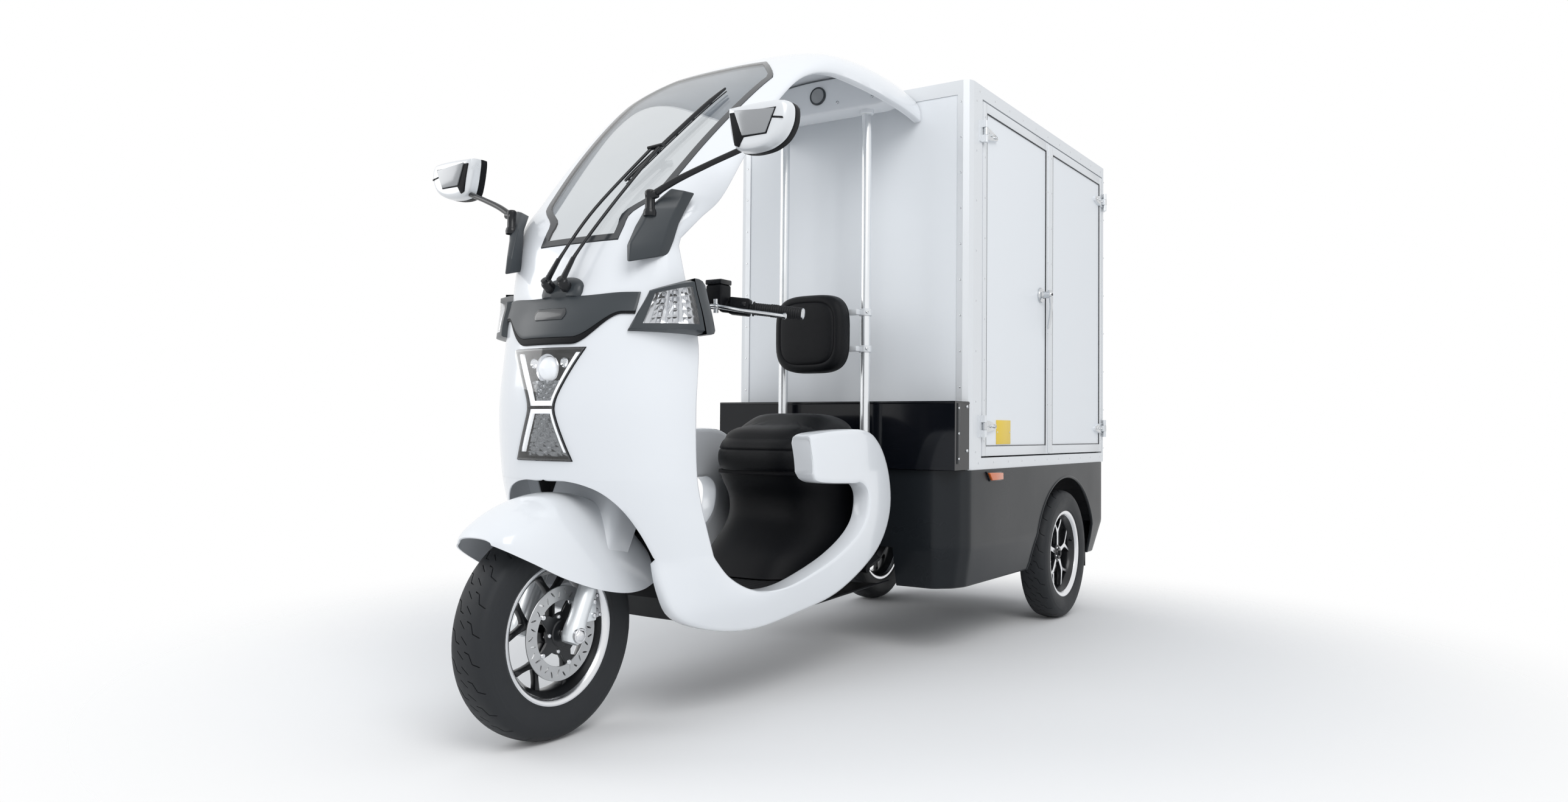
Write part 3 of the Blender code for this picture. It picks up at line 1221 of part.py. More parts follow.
def box_frame():
    """The edge extrusions and floor of the cargo box, with hinge leaves on the corner posts."""
    low = (-BOX_HALF, BOX_FRONT, BOX_BOTTOM)
    high = (BOX_HALF, BOX_REAR, BOX_TOP)
    frame = box("box_frame", low, high, ALUMINIUM, bevel=CORNER_RADIUS, segments=2, edges="upright")
    wall = BOX_WALL
    floor_top = BOX_BOTTOM + 0.026
    rail = BOX_RAIL
    inside = box("box_inside", (-BOX_HALF + wall, BOX_FRONT + wall, floor_top), (BOX_HALF - wall, BOX_REAR - wall, BOX_TOP - wall))
    windows = [
        box("window_front", (-BOX_HALF + rail, BOX_FRONT - 0.05, floor_top + 0.02), (BOX_HALF - rail, BOX_FRONT + 0.10, BOX_TOP - rail)),
        box("window_rear", (-BOX_HALF + rail, BOX_REAR - 0.10, floor_top + 0.02), (BOX_HALF - rail, BOX_REAR + 0.05, BOX_TOP - rail)),
        box("window_right", (-BOX_HALF - 0.05, BOX_FRONT + rail, floor_top + 0.02), (-BOX_HALF + 0.10, BOX_REAR - rail, BOX_TOP - rail)),
        box("window_roof", (-BOX_HALF + rail, BOX_FRONT + rail, BOX_TOP - 0.10), (BOX_HALF - rail, BOX_REAR - rail, BOX_TOP + 0.05)),
        box("door_opening", (BOX_HALF - 0.10, DOOR_FRONT_EDGE - SWING_GAP, DOOR_BOTTOM - SWING_GAP),
            (BOX_HALF + 0.05, DOOR_REAR_EDGE + SWING_GAP, DOOR_TOP + SWING_GAP)),
    ]
    leaves = []
    for name, y, sign in (("front", HINGE_FRONT_Y, -1), ("rear", HINGE_REAR_Y, 1)):
        for level, z in (("low", HINGE_LOW_Z), ("high", HINGE_HIGH_Z)):
            leaves.append(box("leaf_%s_%s" % (name, level), (BOX_HALF - 0.004, min(y + sign * 0.0015, y + sign * 0.028), z - HINGE_HALF),
                              (BOX_HALF + 0.004, max(y + sign * 0.0015, y + sign * 0.028), z + HINGE_HALF)))
            for end in (-1, 1):
                reach = (HINGE_HALF - KNUCKLE_HALF - KNUCKLE_GAP) / 2
                middle = z + end * (HINGE_HALF - reach)
                leaves.append(rod("knuckle_%s_%s_%d" % (name, level, end), (PIN_X, y, middle - reach), (PIN_X, y, middle + reach), PIN_RADIUS,
                                  sides=8))
                leaves.append(box("web_%s_%s_%d" % (name, level, end), (BOX_HALF + 0.001, min(y + sign * 0.0015, y + sign * 0.012), middle - reach),
                                  (PIN_X + 0.003, max(y + sign * 0.0015, y + sign * 0.012), middle + reach)))
    return join(cut(frame, inside, *windows), *leaves)


PIN_X = BOX_HALF + 0.012
HINGE_FRONT_Y = DOOR_FRONT_EDGE - 0.004
HINGE_REAR_Y = DOOR_REAR_EDGE + 0.004
HINGE_LOW_Z = DOOR_BOTTOM + 0.099
HINGE_HIGH_Z = DOOR_TOP - 0.104
HINGE_HALF = 0.036
PIN_RADIUS = 0.0075
KNUCKLE_HALF = 0.012         # half the length of the door's knuckle
KNUCKLE_GAP = 0.0008


def box_panels():
    rail = BOX_RAIL + GAP
    wall = BOX_WALL
    bottom = BOX_BOTTOM + 0.046 + GAP
    top = BOX_TOP - rail
    inset = 0.003
    box("box_front_panel", (-BOX_HALF + rail, BOX_FRONT + inset, bottom), (BOX_HALF - rail, BOX_FRONT + wall, top), WHITE_PANEL)
    box("box_rear_panel", (-BOX_HALF + rail, BOX_REAR - wall, bottom), (BOX_HALF - rail, BOX_REAR - inset, top), WHITE_PANEL)
    box("box_right_panel", (-BOX_HALF + inset, BOX_FRONT + rail, bottom), (-BOX_HALF + wall, BOX_REAR - rail, top), WHITE_PANEL)
    box("box_roof_panel", (-BOX_HALF + rail, BOX_FRONT + rail, BOX_TOP - wall), (BOX_HALF - rail, BOX_REAR - rail, BOX_TOP - inset),
        WHITE_PANEL)


def door(name, near, far, hinge_y):
    """A framed door panel with its strap hinges; near is the hinged edge."""
    sign = 1 if far > near else -1
    low = (BOX_HALF - DOOR_THICKNESS, min(near, far), DOOR_BOTTOM)
    high = (BOX_HALF, max(near, far), DOOR_TOP)
    panel = box(name, low, high, WHITE_PANEL, bevel=0.002, segments=1)
    border = 0.030
    field = box(name + "_field", (BOX_HALF - 0.0025, min(near, far) + border, DOOR_BOTTOM + border),
                (BOX_HALF + 0.02, max(near, far) - border, DOOR_TOP - border))
    straps = []
    for level, z in (("low", HINGE_LOW_Z), ("high", HINGE_HIGH_Z)):
        straps.append(rod("%s_knuckle_%s" % (name, level), (PIN_X, hinge_y, z - KNUCKLE_HALF),
                          (PIN_X, hinge_y, z + KNUCKLE_HALF), PIN_RADIUS, sides=8))
        reach = KNUCKLE_HALF
        tip = hinge_y + sign * 0.110
        near_y = hinge_y + sign * 0.009
        outline = [(near_y, z - 0.022), (hinge_y + sign * 0.050, z - 0.019), (tip, z - 0.008), (tip + sign * 0.004, z),
                   (tip, z + 0.008), (hinge_y + sign * 0.050, z + 0.019), (near_y, z + 0.022)]
        straps.append(plate("%s_strap_%s" % (name, level), outline, BOX_HALF - 0.006, BOX_HALF + 0.007, "YZ"))
        straps.append(box("%s_wrap_%s" % (name, level), (BOX_HALF + 0.001, min(hinge_y + sign * 0.0015, hinge_y + sign * 0.016), z - reach),
                          (PIN_X + 0.003, max(hinge_y, hinge_y + sign * 0.016), z + reach)))
    hinge = axis(name + "_axis", (PIN_X, hinge_y, (DOOR_BOTTOM + DOOR_TOP) / 2))
    leaf = join(cut(panel, field), *straps)
    return hinge, leaf


def door_handle():
    """The round escutcheon with its turning lever."""
    y = DOOR_SPLIT - 0.092
    z = 1.236
    base = BOX_HALF - 0.0025 + GAP
    plate_disc = rod("door_handle", (base, y, z), (base + 0.010, y, z), 0.026, CHROME, sides=16)
    spindle = rod("handle_spindle", (base + 0.008, y, z), (base + 0.045, y, z), 0.009, sides=8)
    lever = tube("handle_lever", rounded([(base + 0.038, y, z + 0.012), (base + 0.042, y, z - 0.050), (base + 0.030, y, z - 0.128)], 0.03, 2),
                 0.0075, resolution=1)
    return join(plate_disc, spindle, lever)


def doors():
    front_axis, front_leaf = door("door_front", DOOR_FRONT_EDGE, DOOR_SPLIT - SPLIT_GAP / 2, HINGE_FRONT_Y)
    rear_axis, rear_leaf = door("door_rear", DOOR_REAR_EDGE, DOOR_SPLIT + SPLIT_GAP / 2, HINGE_REAR_Y)
    carry(front_axis, front_leaf, door_handle())
    carry(rear_axis, rear_leaf)


def tray():
    """The open-topped carrier in front of the box, a bent sheet closed by the box's front."""
    outer = [(-BOX_HALF, BOX_FRONT - GAP), (-BOX_HALF, TRAY_FRONT), (BOX_HALF, TRAY_FRONT), (BOX_HALF, BOX_FRONT - GAP)]
    body = plate("tray", outer, BOX_BOTTOM + 0.002, TRAY_TOP, "XY", BLACK_GLOSS)
    inside = box("tray_inside", (-BOX_HALF + TRAY_WALL, TRAY_FRONT + TRAY_WALL, BOX_BOTTOM + 0.010),
                 (BOX_HALF - TRAY_WALL, BOX_FRONT + 0.05, TRAY_TOP + 0.05))
    return cut(body, inside)


# Rear body

def skirt_outline(inset):
    """Plan outline of the skirt: a flat front, two facets at each corner and straight sides."""
    half = SKIRT_HALF - inset
    front = SKIRT_FRONT + inset
    rear = SKIRT_REAR - inset
    corner = 0.378 - inset * 0.5
    return [(-half, rear), (-half, front + 0.100), (-half + 0.018, front + 0.045), (-corner, front), (corner, front),
            (half - 0.018, front + 0.045), (half, front + 0.100), (half, rear)]


ARCH_STATION = WHEELBASE - 0.005
ARCH_HALF = 0.345
ARCH_TOP = 0.553


def rear_skirt():
    """The painted lower body: sides with wheel arches, a bevelled front and a rear apron."""
    def ring(inset, z):
        return [Vector((x, y, z)) for x, y in skirt_outline(inset)]
    top = BOX_BOTTOM - GAP
    body = loft("rear_skirt", [ring(SKIRT_TUCK, SKIRT_BOTTOM), ring(0.0, TUCK_TOP), ring(0.0, top)], GREY_PAINT)
    inner = loft("skirt_inside", [ring(SKIRT_TUCK + 0.015, SKIRT_BOTTOM - 0.05), ring(SKIRT_TUCK + SKIRT_WALL, SKIRT_BOTTOM + 0.01), ring(SKIRT_WALL, TUCK_TOP),
                                  ring(SKIRT_WALL, top + 0.05)])
    # an arch in each side, straight below the axle's height
    count = 14
    outline = [(ARCH_STATION + ARCH_HALF, 0.10)]
    for i in range(count + 1):
        a = pi * i / count
        outline.append((ARCH_STATION + ARCH_HALF * cos(a), TYRE_RADIUS + (ARCH_TOP - TYRE_RADIUS) * sin(a)))
    outline.append((ARCH_STATION - ARCH_HALF - 0.075, 0.10))
    arches = plate("rear_arches", outline, -0.60, 0.60, "YZ")
    tunnel = box("rail_tunnel", (-0.232, SKIRT_FRONT - 0.05, 0.10), (0.232, SKIRT_FRONT + 0.05, 0.350))
    return cut(body, inner, arches, tunnel)


def wheel_liners():
    """A black liner round each rear wheel, ending in a mud flap behind it."""
    outer = []
    count = 12
    reach = ARCH_HALF + 0.010
    rise = ARCH_TOP - TYRE_RADIUS + 0.010
    for i in range(count + 1):
        a = pi * 0.86 * i / count
        outer.append((ARCH_STATION + reach * cos(a), TYRE_RADIUS + rise * sin(a)))
    outer = [(ARCH_STATION + reach, 0.165)] + outer
    wall = 0.004
    inner = [(y, z) for y, z in shrink_path(outer, wall)]
    face = SKIRT_HALF - SKIRT_WALL - GAP
    body = plate("wheel_liner_left", outer + list(reversed(inner)), 0.300, face, "YZ", BLACK_PLASTIC)
    taper = box("flap_taper", (face - SKIRT_TUCK - 0.004, ARCH_STATION + 0.10, 0.10), (0.60, SKIRT_REAR + 0.10, TUCK_TOP + 0.006))
    return cut(body, taper)


def shrink_path(points, wall):
    """The same path, moved towards the wheel's centre by the wall."""
    moved = []
    for y, z in points:
        dy = y - ARCH_STATION
        dz = max(0.0, z - TYRE_RADIUS)
        length = hypot(dy, dz)
        moved.append((y - dy / length * wall, z - dz / length * wall))
    return moved


def rear_lamps():
    for side, sign in (("left", 1), ("right", -1)):
        x = sign * (SKIRT_HALF - 0.095)
        y = SKIRT_REAR + GAP
        lamp = box("tail_lamp_" + side, (x - 0.045, y, 0.470), (x + 0.045, y + 0.022, 0.540), RED_LENS, bevel=0.006)
        outline = [(SKIRT_FRONT + 0.222, 0.594), (SKIRT_FRONT + 0.254, 0.561), (SKIRT_FRONT + 0.354, 0.561), (SKIRT_FRONT + 0.353, 0.591)]
        near = sign * (SKIRT_HALF + GAP)
        plate("marker_lamp_" + side, outline, near, near + sign * 0.012, "YZ", AMBER, bevel=0.002, segments=1)


def mirror_pairs():
    for piece, name in ((side_hoop(), "side_hoop_right"), (indicator(), "indicator_right"), (mirror(), "mirror_right"),
                        (post(), "post_right"), (wheel_liners(), "wheel_liner_right")):
        mirrored_copy(piece, name)


def build():
    steering_pieces()
    rear_wheel_pieces()
    chassis_frame()
    battery_pack()
    rear_axle()
    front_shell()
    front_trim_panel()
    headlight()
    canopy_shell()
    windscreen()
    roof_beam()
    backrest()
    floor_board()
    belly_pan()
    inner_panel()
    seat_base()
    seat_cushion()
    wiper()
    box_frame()
    box_panels()
    doors()
    tray()
    rear_skirt()
    rear_lamps()
    bpy.context.view_layer.update()
    mirror_pairs()


build()
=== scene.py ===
"""Looks of the electric three-wheeler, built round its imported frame.

Metres. Stations run back from the front axle and are shifted into the frame when a piece is made.
"""

from math import asin, cos, pi, radians, sin, sqrt

import bmesh
import bpy
from mathutils import Matrix, Vector
from mathutils.bvhtree import BVHTree
from mathutils.geometry import delaunay_2d_cdt


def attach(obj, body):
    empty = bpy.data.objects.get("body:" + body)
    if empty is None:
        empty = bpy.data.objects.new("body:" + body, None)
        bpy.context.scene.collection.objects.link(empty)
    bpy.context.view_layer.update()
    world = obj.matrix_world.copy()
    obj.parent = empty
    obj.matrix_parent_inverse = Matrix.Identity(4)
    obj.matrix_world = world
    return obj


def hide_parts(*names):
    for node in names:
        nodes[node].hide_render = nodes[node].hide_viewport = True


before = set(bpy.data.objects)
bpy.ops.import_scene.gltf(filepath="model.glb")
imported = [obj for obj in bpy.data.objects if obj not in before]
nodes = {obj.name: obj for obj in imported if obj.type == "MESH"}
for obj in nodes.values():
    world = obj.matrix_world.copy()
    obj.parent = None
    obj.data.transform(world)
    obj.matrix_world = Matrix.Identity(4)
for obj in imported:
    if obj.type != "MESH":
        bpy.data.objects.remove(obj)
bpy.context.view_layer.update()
scene = bpy.context.scene
SHIFT = Vector((0, -1.295, 0))
ROOT = "frame_and_bodywork"
X = Vector((1, 0, 0))
Y = Vector((0, 1, 0))
Z = Vector((0, 0, 1))
SIDES = ((1, "left"), (-1, "right"))


# Materials

def feed(tree, node, values):
    """Sets a node's inputs, each from a value or from another node's output."""
    for key, value in values.items():
        if isinstance(value, bpy.types.NodeSocket):
            tree.links.new(value, node.inputs[key])
        else:
            node.inputs[key].default_value = value


def add(tree, kind, values=None, out=0, **options):
    """Adds a node and gives back one of its outputs."""
    node = tree.nodes.new("ShaderNode" + kind)
    for name, value in options.items():
        setattr(node, name, value)
    feed(tree, node, values or {})
    return node.outputs[out]


def add_output(tree, kind, shader):
    feed(tree, tree.nodes.new("ShaderNode" + kind), {"Surface": shader})


def shades(colour, drift, factor):
    """The two shades between which a colour drifts."""
    return {"A": (*[c * (1 - drift) for c in colour], 1), "Factor": factor,
            "B": (*[min(1, c * (1 + drift)) for c in colour], 1)}


def bumps(tree, place, height, kind, size, out):
    """A fine grain, as a normal."""
    fine = add(tree, kind, {"Scale": size, "Vector": place}, out)
    return add(tree, "Bump", {"Strength": height, "Distance": 0.001, "Height": fine})


def new_material(name):
    mat = bpy.data.materials.new(name)
    mat.use_nodes = True
    return mat, mat.node_tree


def surface(name, colour, rough, metal=0, coat=0, grain=0, size=500, fleck=0.04, cloud=9, spread=0.04,
            cells=False, glow=0, shine=0.5):
    """A surface whose colour and roughness drift slowly, with a fine grain on top."""
    mat, tree = new_material(name)
    place = add(tree, "TexCoord", out="Object")
    drift = add(tree, "TexNoise", {"Scale": cloud, "Detail": 4, "Vector": place}, "Fac")
    values = {"Metallic": metal, "Coat Weight": coat, "Coat Roughness": 0.06, "Specular IOR Level": shine,
              "Base Color": add(tree, "Mix", shades(colour, fleck, drift), "Result", data_type="RGBA"),
              "Roughness": add(tree, "MapRange", {"From Min": 0.3, "From Max": 0.7, "Value": drift,
                                                  "To Min": max(0, rough - spread),
                                                  "To Max": rough + spread})}
    if glow:
        values.update({"Emission Color": (1, 1, 1, 1), "Emission Strength": glow})
    if grain:
        values["Normal"] = bumps(tree, place, grain, "TexVoronoi" if cells else "TexNoise", size,
                                 "Distance" if cells else "Fac")
    feed(tree, tree.nodes["Principled BSDF"], values)
    return mat


def glass_sheet(name, tint, rough):
    """Thin clear sheet: it lets the light behind through, tinted, and mirrors a little at a slant."""
    mat, tree = new_material(name)
    tree.nodes.clear()
    place = add(tree, "TexCoord", out="Object")
    drift = add(tree, "TexNoise", {"Scale": 6, "Vector": place}, "Fac")
    colour = add(tree, "Mix", shades(tint, 0.015, drift), "Result", data_type="RGBA")
    haze = add(tree, "MapRange", {"To Min": rough - 0.01, "To Max": rough + 0.01, "Value": drift})
    shine = add(tree, "BsdfGlossy", {"Roughness": haze, "Color": (1, 1, 1, 1),
                                     "Normal": bumps(tree, place, 0.01, "TexNoise", 120, "Fac")})
    slant = add(tree, "LayerWeight", {"Blend": 0.5}, "Facing")
    steep = add(tree, "Math", {0: slant, 1: 4}, operation="POWER")
    share = add(tree, "Math", {0: steep, 1: 0.60, 2: 0.035}, operation="MULTIPLY_ADD")
    both = add(tree, "MixShader", {"Fac": share, 1: add(tree, "BsdfTransparent", {"Color": colour}),
                                   2: shine})
    add_output(tree, "OutputMaterial", both)
    return mat


PAINT = surface("gloss_white_paint", (0.815, 0.838, 0.865), 0.22, coat=0.5, grain=0.02, size=160, fleck=0.01)
PANEL = surface("satin_white_sheet", (0.825, 0.85, 0.875), 0.38, grain=0.03, size=40, fleck=0.012, cloud=3)
EXTRUSION = surface("white_anodised_extrusion", (0.74, 0.76, 0.78), 0.36, metal=0.25, grain=0.03, size=300,
                    fleck=0.015)
ALLOY = surface("cast_alloy", (0.56, 0.57, 0.59), 0.38, metal=0.7, grain=0.1, size=700, fleck=0.05)
FORK_SILVER = surface("silver_fork_paint", (0.8, 0.83, 0.85), 0.3, metal=0.45, coat=0.3, grain=0.04,
                      fleck=0.02)
MACHINED = surface("machined_alloy", (0.74, 0.75, 0.77), 0.2, metal=1, grain=0.04, size=900, fleck=0.03)
POLISHED = surface("polished_tube", (0.82, 0.84, 0.86), 0.22, metal=0.75, grain=0.02, fleck=0.015)
CHROME = surface("chrome", (0.6, 0.62, 0.64), 0.14, metal=1, fleck=0.02, spread=0.03)
DISC = surface("ground_disc_steel", (0.5, 0.51, 0.52), 0.34, metal=0.85, grain=0.08, size=1200, fleck=0.06,
               cloud=40)
DARK_ALLOY = surface("dark_wheel_paint", (0.012, 0.013, 0.015), 0.3, metal=0.2, coat=0.2, grain=0.05,
                     size=900, shine=0.4)
TRIM = surface("dark_grey_satin_plastic", (0.036, 0.043, 0.049), 0.36, grain=0.05, size=900, fleck=0.05,
               shine=0.4)
SKIRT = surface("dark_grey_satin_paint", (0.013, 0.0155, 0.0185), 0.3, coat=0.04, grain=0.03, size=260,
                fleck=0.05, cloud=4, shine=0.18)
BLACK = surface("grained_black_plastic", (0.004, 0.0045, 0.006), 0.46, grain=0.3, size=1100, cells=True,
                fleck=0.08, shine=0.14)
SMOOTH_BLACK = surface("smooth_black_plastic", (0.009, 0.01, 0.012), 0.24, grain=0.03, fleck=0.08,
                       shine=0.32)
GLOSS_BLACK = surface("gloss_black_sheet", (0.0045, 0.0055, 0.008), 0.12, coat=0.15, grain=0.015, size=60,
                      fleck=0.06, shine=0.25)
FRAME_BLACK = surface("powder_coated_steel", (0.009, 0.01, 0.012), 0.5, grain=0.2, size=800, fleck=0.08,
                      shine=0.25)
VINYL = surface("black_seat_vinyl", (0.004, 0.0046, 0.006), 0.44, grain=0.45, size=620, cells=True,
                fleck=0.1, shine=0.16)
RUBBER = surface("tyre_rubber", (0.019, 0.021, 0.024), 0.6, grain=0.22, size=900, fleck=0.14, cloud=22,
                 shine=0.32)
SOFT_RUBBER = surface("grip_rubber", (0.009, 0.0095, 0.011), 0.58, grain=0.2, size=900, shine=0.25)
BAND = surface("screen_border_print", (0.036, 0.04, 0.045), 0.16, coat=0.2)
AMBER = surface("amber_lens", (0.62, 0.13, 0.02), 0.18, coat=0.4, grain=0.25, size=420, fleck=0.08)
RED = surface("red_lens", (0.33, 0.012, 0.012), 0.16, coat=0.5, grain=0.25, size=420, fleck=0.08)
YELLOW = surface("yellow_plate", (0.82, 0.58, 0.045), 0.4, grain=0.03, fleck=0.03)
BADGE = surface("blank_badge", (0.03, 0.033, 0.037), 0.22, coat=0.3, fleck=0.03)
REFLECTOR = surface("lamp_reflector", (0.66, 0.67, 0.69), 0.16, metal=1, grain=0.06, size=110, cells=True)
SMOKED = surface("smoked_reflector", (0.2, 0.21, 0.22), 0.22, metal=0.9, coat=0.3, grain=0.04, size=160,
                 cells=True, fleck=0.05, cloud=60)
LAMP_BLACK = surface("lamp_housing_black", (0.012, 0.013, 0.015), 0.22, grain=0.1, size=300)
LAMP_INSERT = surface("pale_smoked_lens", (0.3, 0.31, 0.32), 0.2, metal=0.3, coat=0.4, grain=0.02, size=300,
                      fleck=0.05)
LED = surface("led_strip", (0.93, 0.94, 0.95), 0.3, glow=0.45, fleck=0.01)
BULB = surface("projector_lens", (0.9, 0.92, 0.95), 0.1, coat=0.6, glow=0.3, fleck=0.01)
MIRROR = surface("mirror_glass", (0.82, 0.84, 0.86), 0.02, metal=1, fleck=0.01, spread=0.01)
SILVER = surface("silver_shell_paint", (0.74, 0.76, 0.78), 0.3, metal=0.3, coat=0.3, fleck=0.02, grain=0.015)
SCREEN_GLASS = glass_sheet("tinted_screen", (0.8, 0.82, 0.835), 0.03)
CLEAR = glass_sheet("clear_cover", (0.955, 0.96, 0.965), 0.02)


# Making shapes

def new_object(name, data):
    obj = bpy.data.objects.new(name, data)
    scene.collection.objects.link(obj)
    return obj


def smooth(mesh, angle):
    mesh.shade_smooth()
    mesh.set_sharp_from_angle(angle=radians(angle))


def round_edges(bm, edges, width, segments, clamp=False):
    bmesh.ops.bevel(bm, geom=edges, offset=width, segments=segments, profile=0.5, affect="EDGES",
                    clamp_overlap=clamp)


def spaced(low, high, count):
    """Evenly spaced values, both ends included."""
    return [low + (high - low) * i / count for i in range(count + 1)]


def around(radius, turn):
    return radius * cos(turn), radius * sin(turn)


def other_side(point):
    return Vector((-point.x, point.y, point.z))


class Form:
    """Collects the faces of one piece, each with the number of its material."""

    def __init__(self):
        self.points = []
        self.faces = []
        self.marks = []

    def add(self, points, faces, mark=0):
        base = len(self.points)
        self.points += [Vector(p) for p in points]
        self.faces += [[base + i for i in face] for face in faces]
        self.marks += [mark] * len(faces)

    def grid(self, rows, mark=0, across=False, along=False, caps=False):
        """Quads through rows of points; across joins a row's ends, along joins the last row to the first."""
        n = len(rows[0])
        count = len(rows)
        faces = []
        for i in range(count if along else count - 1):
            k = (i + 1) % count
            for j in range(n if across else n - 1):
                m = (j + 1) % n
                faces.append((i * n + j, i * n + m, k * n + m, k * n + j))
        if caps:
            faces += [tuple(reversed(range(n))), tuple((count - 1) * n + j for j in range(n))]
        self.add([p for row in rows for p in row], faces, mark)

    def from_bmesh(self, bm, mark, turn):
        if turn is not None:
            bm.transform(turn)
        bm.verts.index_update()
        self.add([v.co.copy() for v in bm.verts], [[v.index for v in f.verts] for f in bm.faces], mark)
        bm.free()

    def block(self, a, b, mark=0, bevel=0.002, turn=None, segments=2):
        low = Vector(map(min, a, b))
        high = Vector(map(max, a, b))
        bm = bmesh.new()
        bmesh.ops.create_cube(bm, size=1)
        bmesh.ops.scale(bm, vec=high - low, verts=bm.verts)
        if bevel:
            round_edges(bm, bm.edges[:], bevel, segments)
        bmesh.ops.translate(bm, vec=(low + high) / 2, verts=bm.verts)
        self.from_bmesh(bm, mark, turn)

    def prism(self, outline, start, end, axis=0, mark=0, bevel=0, turn=None, segments=2):
        """A flat outline drawn out along an axis between two offsets, its rims rounded."""
        def place(a, b, offset):
            point = [a, b]
            point.insert(axis, offset)
            return Vector(point)
        low, high = sorted((start, end))
        bm = bmesh.new()
        face = bm.faces.new([bm.verts.new(place(a, b, low)) for a, b in outline])
        drawn = bmesh.ops.extrude_face_region(bm, geom=[face])
        moved = [v for v in drawn["geom"] if isinstance(v, bmesh.types.BMVert)]
        bmesh.ops.translate(bm, verts=moved, vec=place(0, 0, high) - place(0, 0, low))
        bmesh.ops.recalc_face_normals(bm, faces=bm.faces)
        if bevel:
            rim = [e for e in bm.edges if len(e.link_faces) == 2 and e.calc_face_angle(0) > radians(50)]
            round_edges(bm, rim, bevel, segments)
        self.from_bmesh(bm, mark, turn)

    def tube(self, path, radius, mark=0, sides=14, flat=1.0, closed=False):
        """A round or flattened section swept along a path; radius may be a list."""
        path = [Vector(p) for p in path]
        count = len(path)
        radii = radius if isinstance(radius, list) else [radius] * count
        rows = []
        side = None
        for i, point in enumerate(path):
            before = path[i - 1] if i > 0 or closed else point
            after = path[(i + 1) % count] if i < count - 1 or closed else point
            ahead = (after - before).normalized()
            if side is None:
                side = ahead.cross(Z)
                if side.length < 0.1:
                    side = ahead.cross(Y)
            side = (side - ahead * side.dot(ahead)).normalized()
            over = side.cross(ahead)
            turns = [2 * pi * k / sides for k in range(sides)]
            rows.append([point + side * cos(a) * radii[i] + over * sin(a) * radii[i] * flat for a in turns])
        self.grid(rows, mark, across=True, along=closed, caps=not closed)

    def lathe(self, profile, centre, direction=X, mark=0, steps=48, closed=False):
        """A turned shape from (radius, height) points."""
        d = Vector(direction).normalized()
        u = d.orthogonal().normalized()
        v = d.cross(u)
        turns = [2 * pi * k / steps for k in range(steps)]
        self.grid([[Vector(centre) + d * height + (u * cos(a) + v * sin(a)) * radius for a in turns]
                   for radius, height in profile], mark, across=True, along=closed)

    def bolt(self, centre, direction, r, mark=0):
        """A domed hexagon-socket screw head."""
        head = ((0, 0.35), (0.42, 0.35), (0.5, 0.75), (0.8, 0.62), (1, 0.25), (1, -0.4))
        self.lathe([(max(0.0001, r * a), r * b) for a, b in head], centre, direction, mark, steps=12)

    def cross_over(self):
        self.points = [other_side(p) for p in self.points]

    def mirror(self):
        count = len(self.points)
        self.points += [other_side(p) for p in self.points]
        self.faces += [[count + i for i in reversed(face)] for face in self.faces]
        self.marks += list(self.marks)

    def build(self, name, weld):
        """The form as an object, its faces turned outwards."""
        mesh = bpy.data.meshes.new(name)
        mesh.from_pydata([p + SHIFT for p in self.points], [], self.faces)
        mesh.polygons.foreach_set("material_index", self.marks)
        bm = bmesh.new()
        bm.from_mesh(mesh)
        if weld:
            bmesh.ops.remove_doubles(bm, verts=bm.verts, dist=weld)
        bmesh.ops.recalc_face_normals(bm, faces=bm.faces)
        bm.to_mesh(mesh)
        bm.free()
        return new_object(name, mesh)

    def make(self, name, materials, body=ROOT, stands_for=(), angle=35, weld=1e-6):
        """The piece itself; one named like a node of the frame stands for that node."""
        obj = self.build(name, weld)
        for mat in materials:
            obj.data.materials.append(mat)
        smooth(obj.data, angle)
        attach(obj, body)
        if name in nodes:
            stands_for = (name,)
        if stands_for:
            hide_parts(*stands_for)
        return obj


def spline(points, parts):
    """Points along a smooth curve through the given ones, each a tuple of any length."""
    ends = [points[0]] + list(points) + [points[-1]]
    made = []
    for near in zip(ends, ends[1:], ends[2:], ends[3:]):
        for k in range(parts):
            t = k / parts
            made.append(tuple(0.5 * (2 * q + (r - p) * t + (2 * p - 5 * q + 4 * r - s) * t * t
                                     + (3 * q - p - 3 * r + s) * t ** 3) for p, q, r, s in zip(*near)))
    return made + [tuple(points[-1])]


def spline_at(points, x):
    """A smooth value of a table at x, whose first column is x, rising or falling."""
    table = points if points[0][0] < points[-1][0] else list(reversed(points))
    x = min(max(x, table[0][0]), table[-1][0])
    i = 0
    while i < len(table) - 2 and table[i + 1][0] < x:
        i += 1
    b, c = table[i:i + 2]
    a = table[i - 1] if i > 0 else b
    d = table[i + 2] if i + 2 < len(table) else c
    h = c[0] - b[0]
    t = (x - b[0]) / h
    row = [x]
    for k in range(1, len(b)):
        rise_b = (c[k] - a[k]) / (c[0] - a[0]) * h if a is not b else c[k] - b[k]
        rise_c = (d[k] - b[k]) / (d[0] - b[0]) * h if d is not c else c[k] - b[k]
        row.append((2 * t ** 3 - 3 * t * t + 1) * b[k] + (t ** 3 - 2 * t * t + t) * rise_b
                   + (3 * t * t - 2 * t ** 3) * c[k] + (t ** 3 - t * t) * rise_c)
    return tuple(row)


def bent(value, power):
    return abs(value) ** power * (1 if value > 0 else -1)


def superellipse(half_a, half_b, power, count):
    turns = [2 * pi * i / count for i in range(count)]
    return [(half_a * bent(cos(t), 2 / power), half_b * bent(sin(t), 2 / power)) for t in turns]


def blend_in(a, b, t):
    t = min(1, max(0, t))
    return a + (b - a) * t * t * (3 - 2 * t)


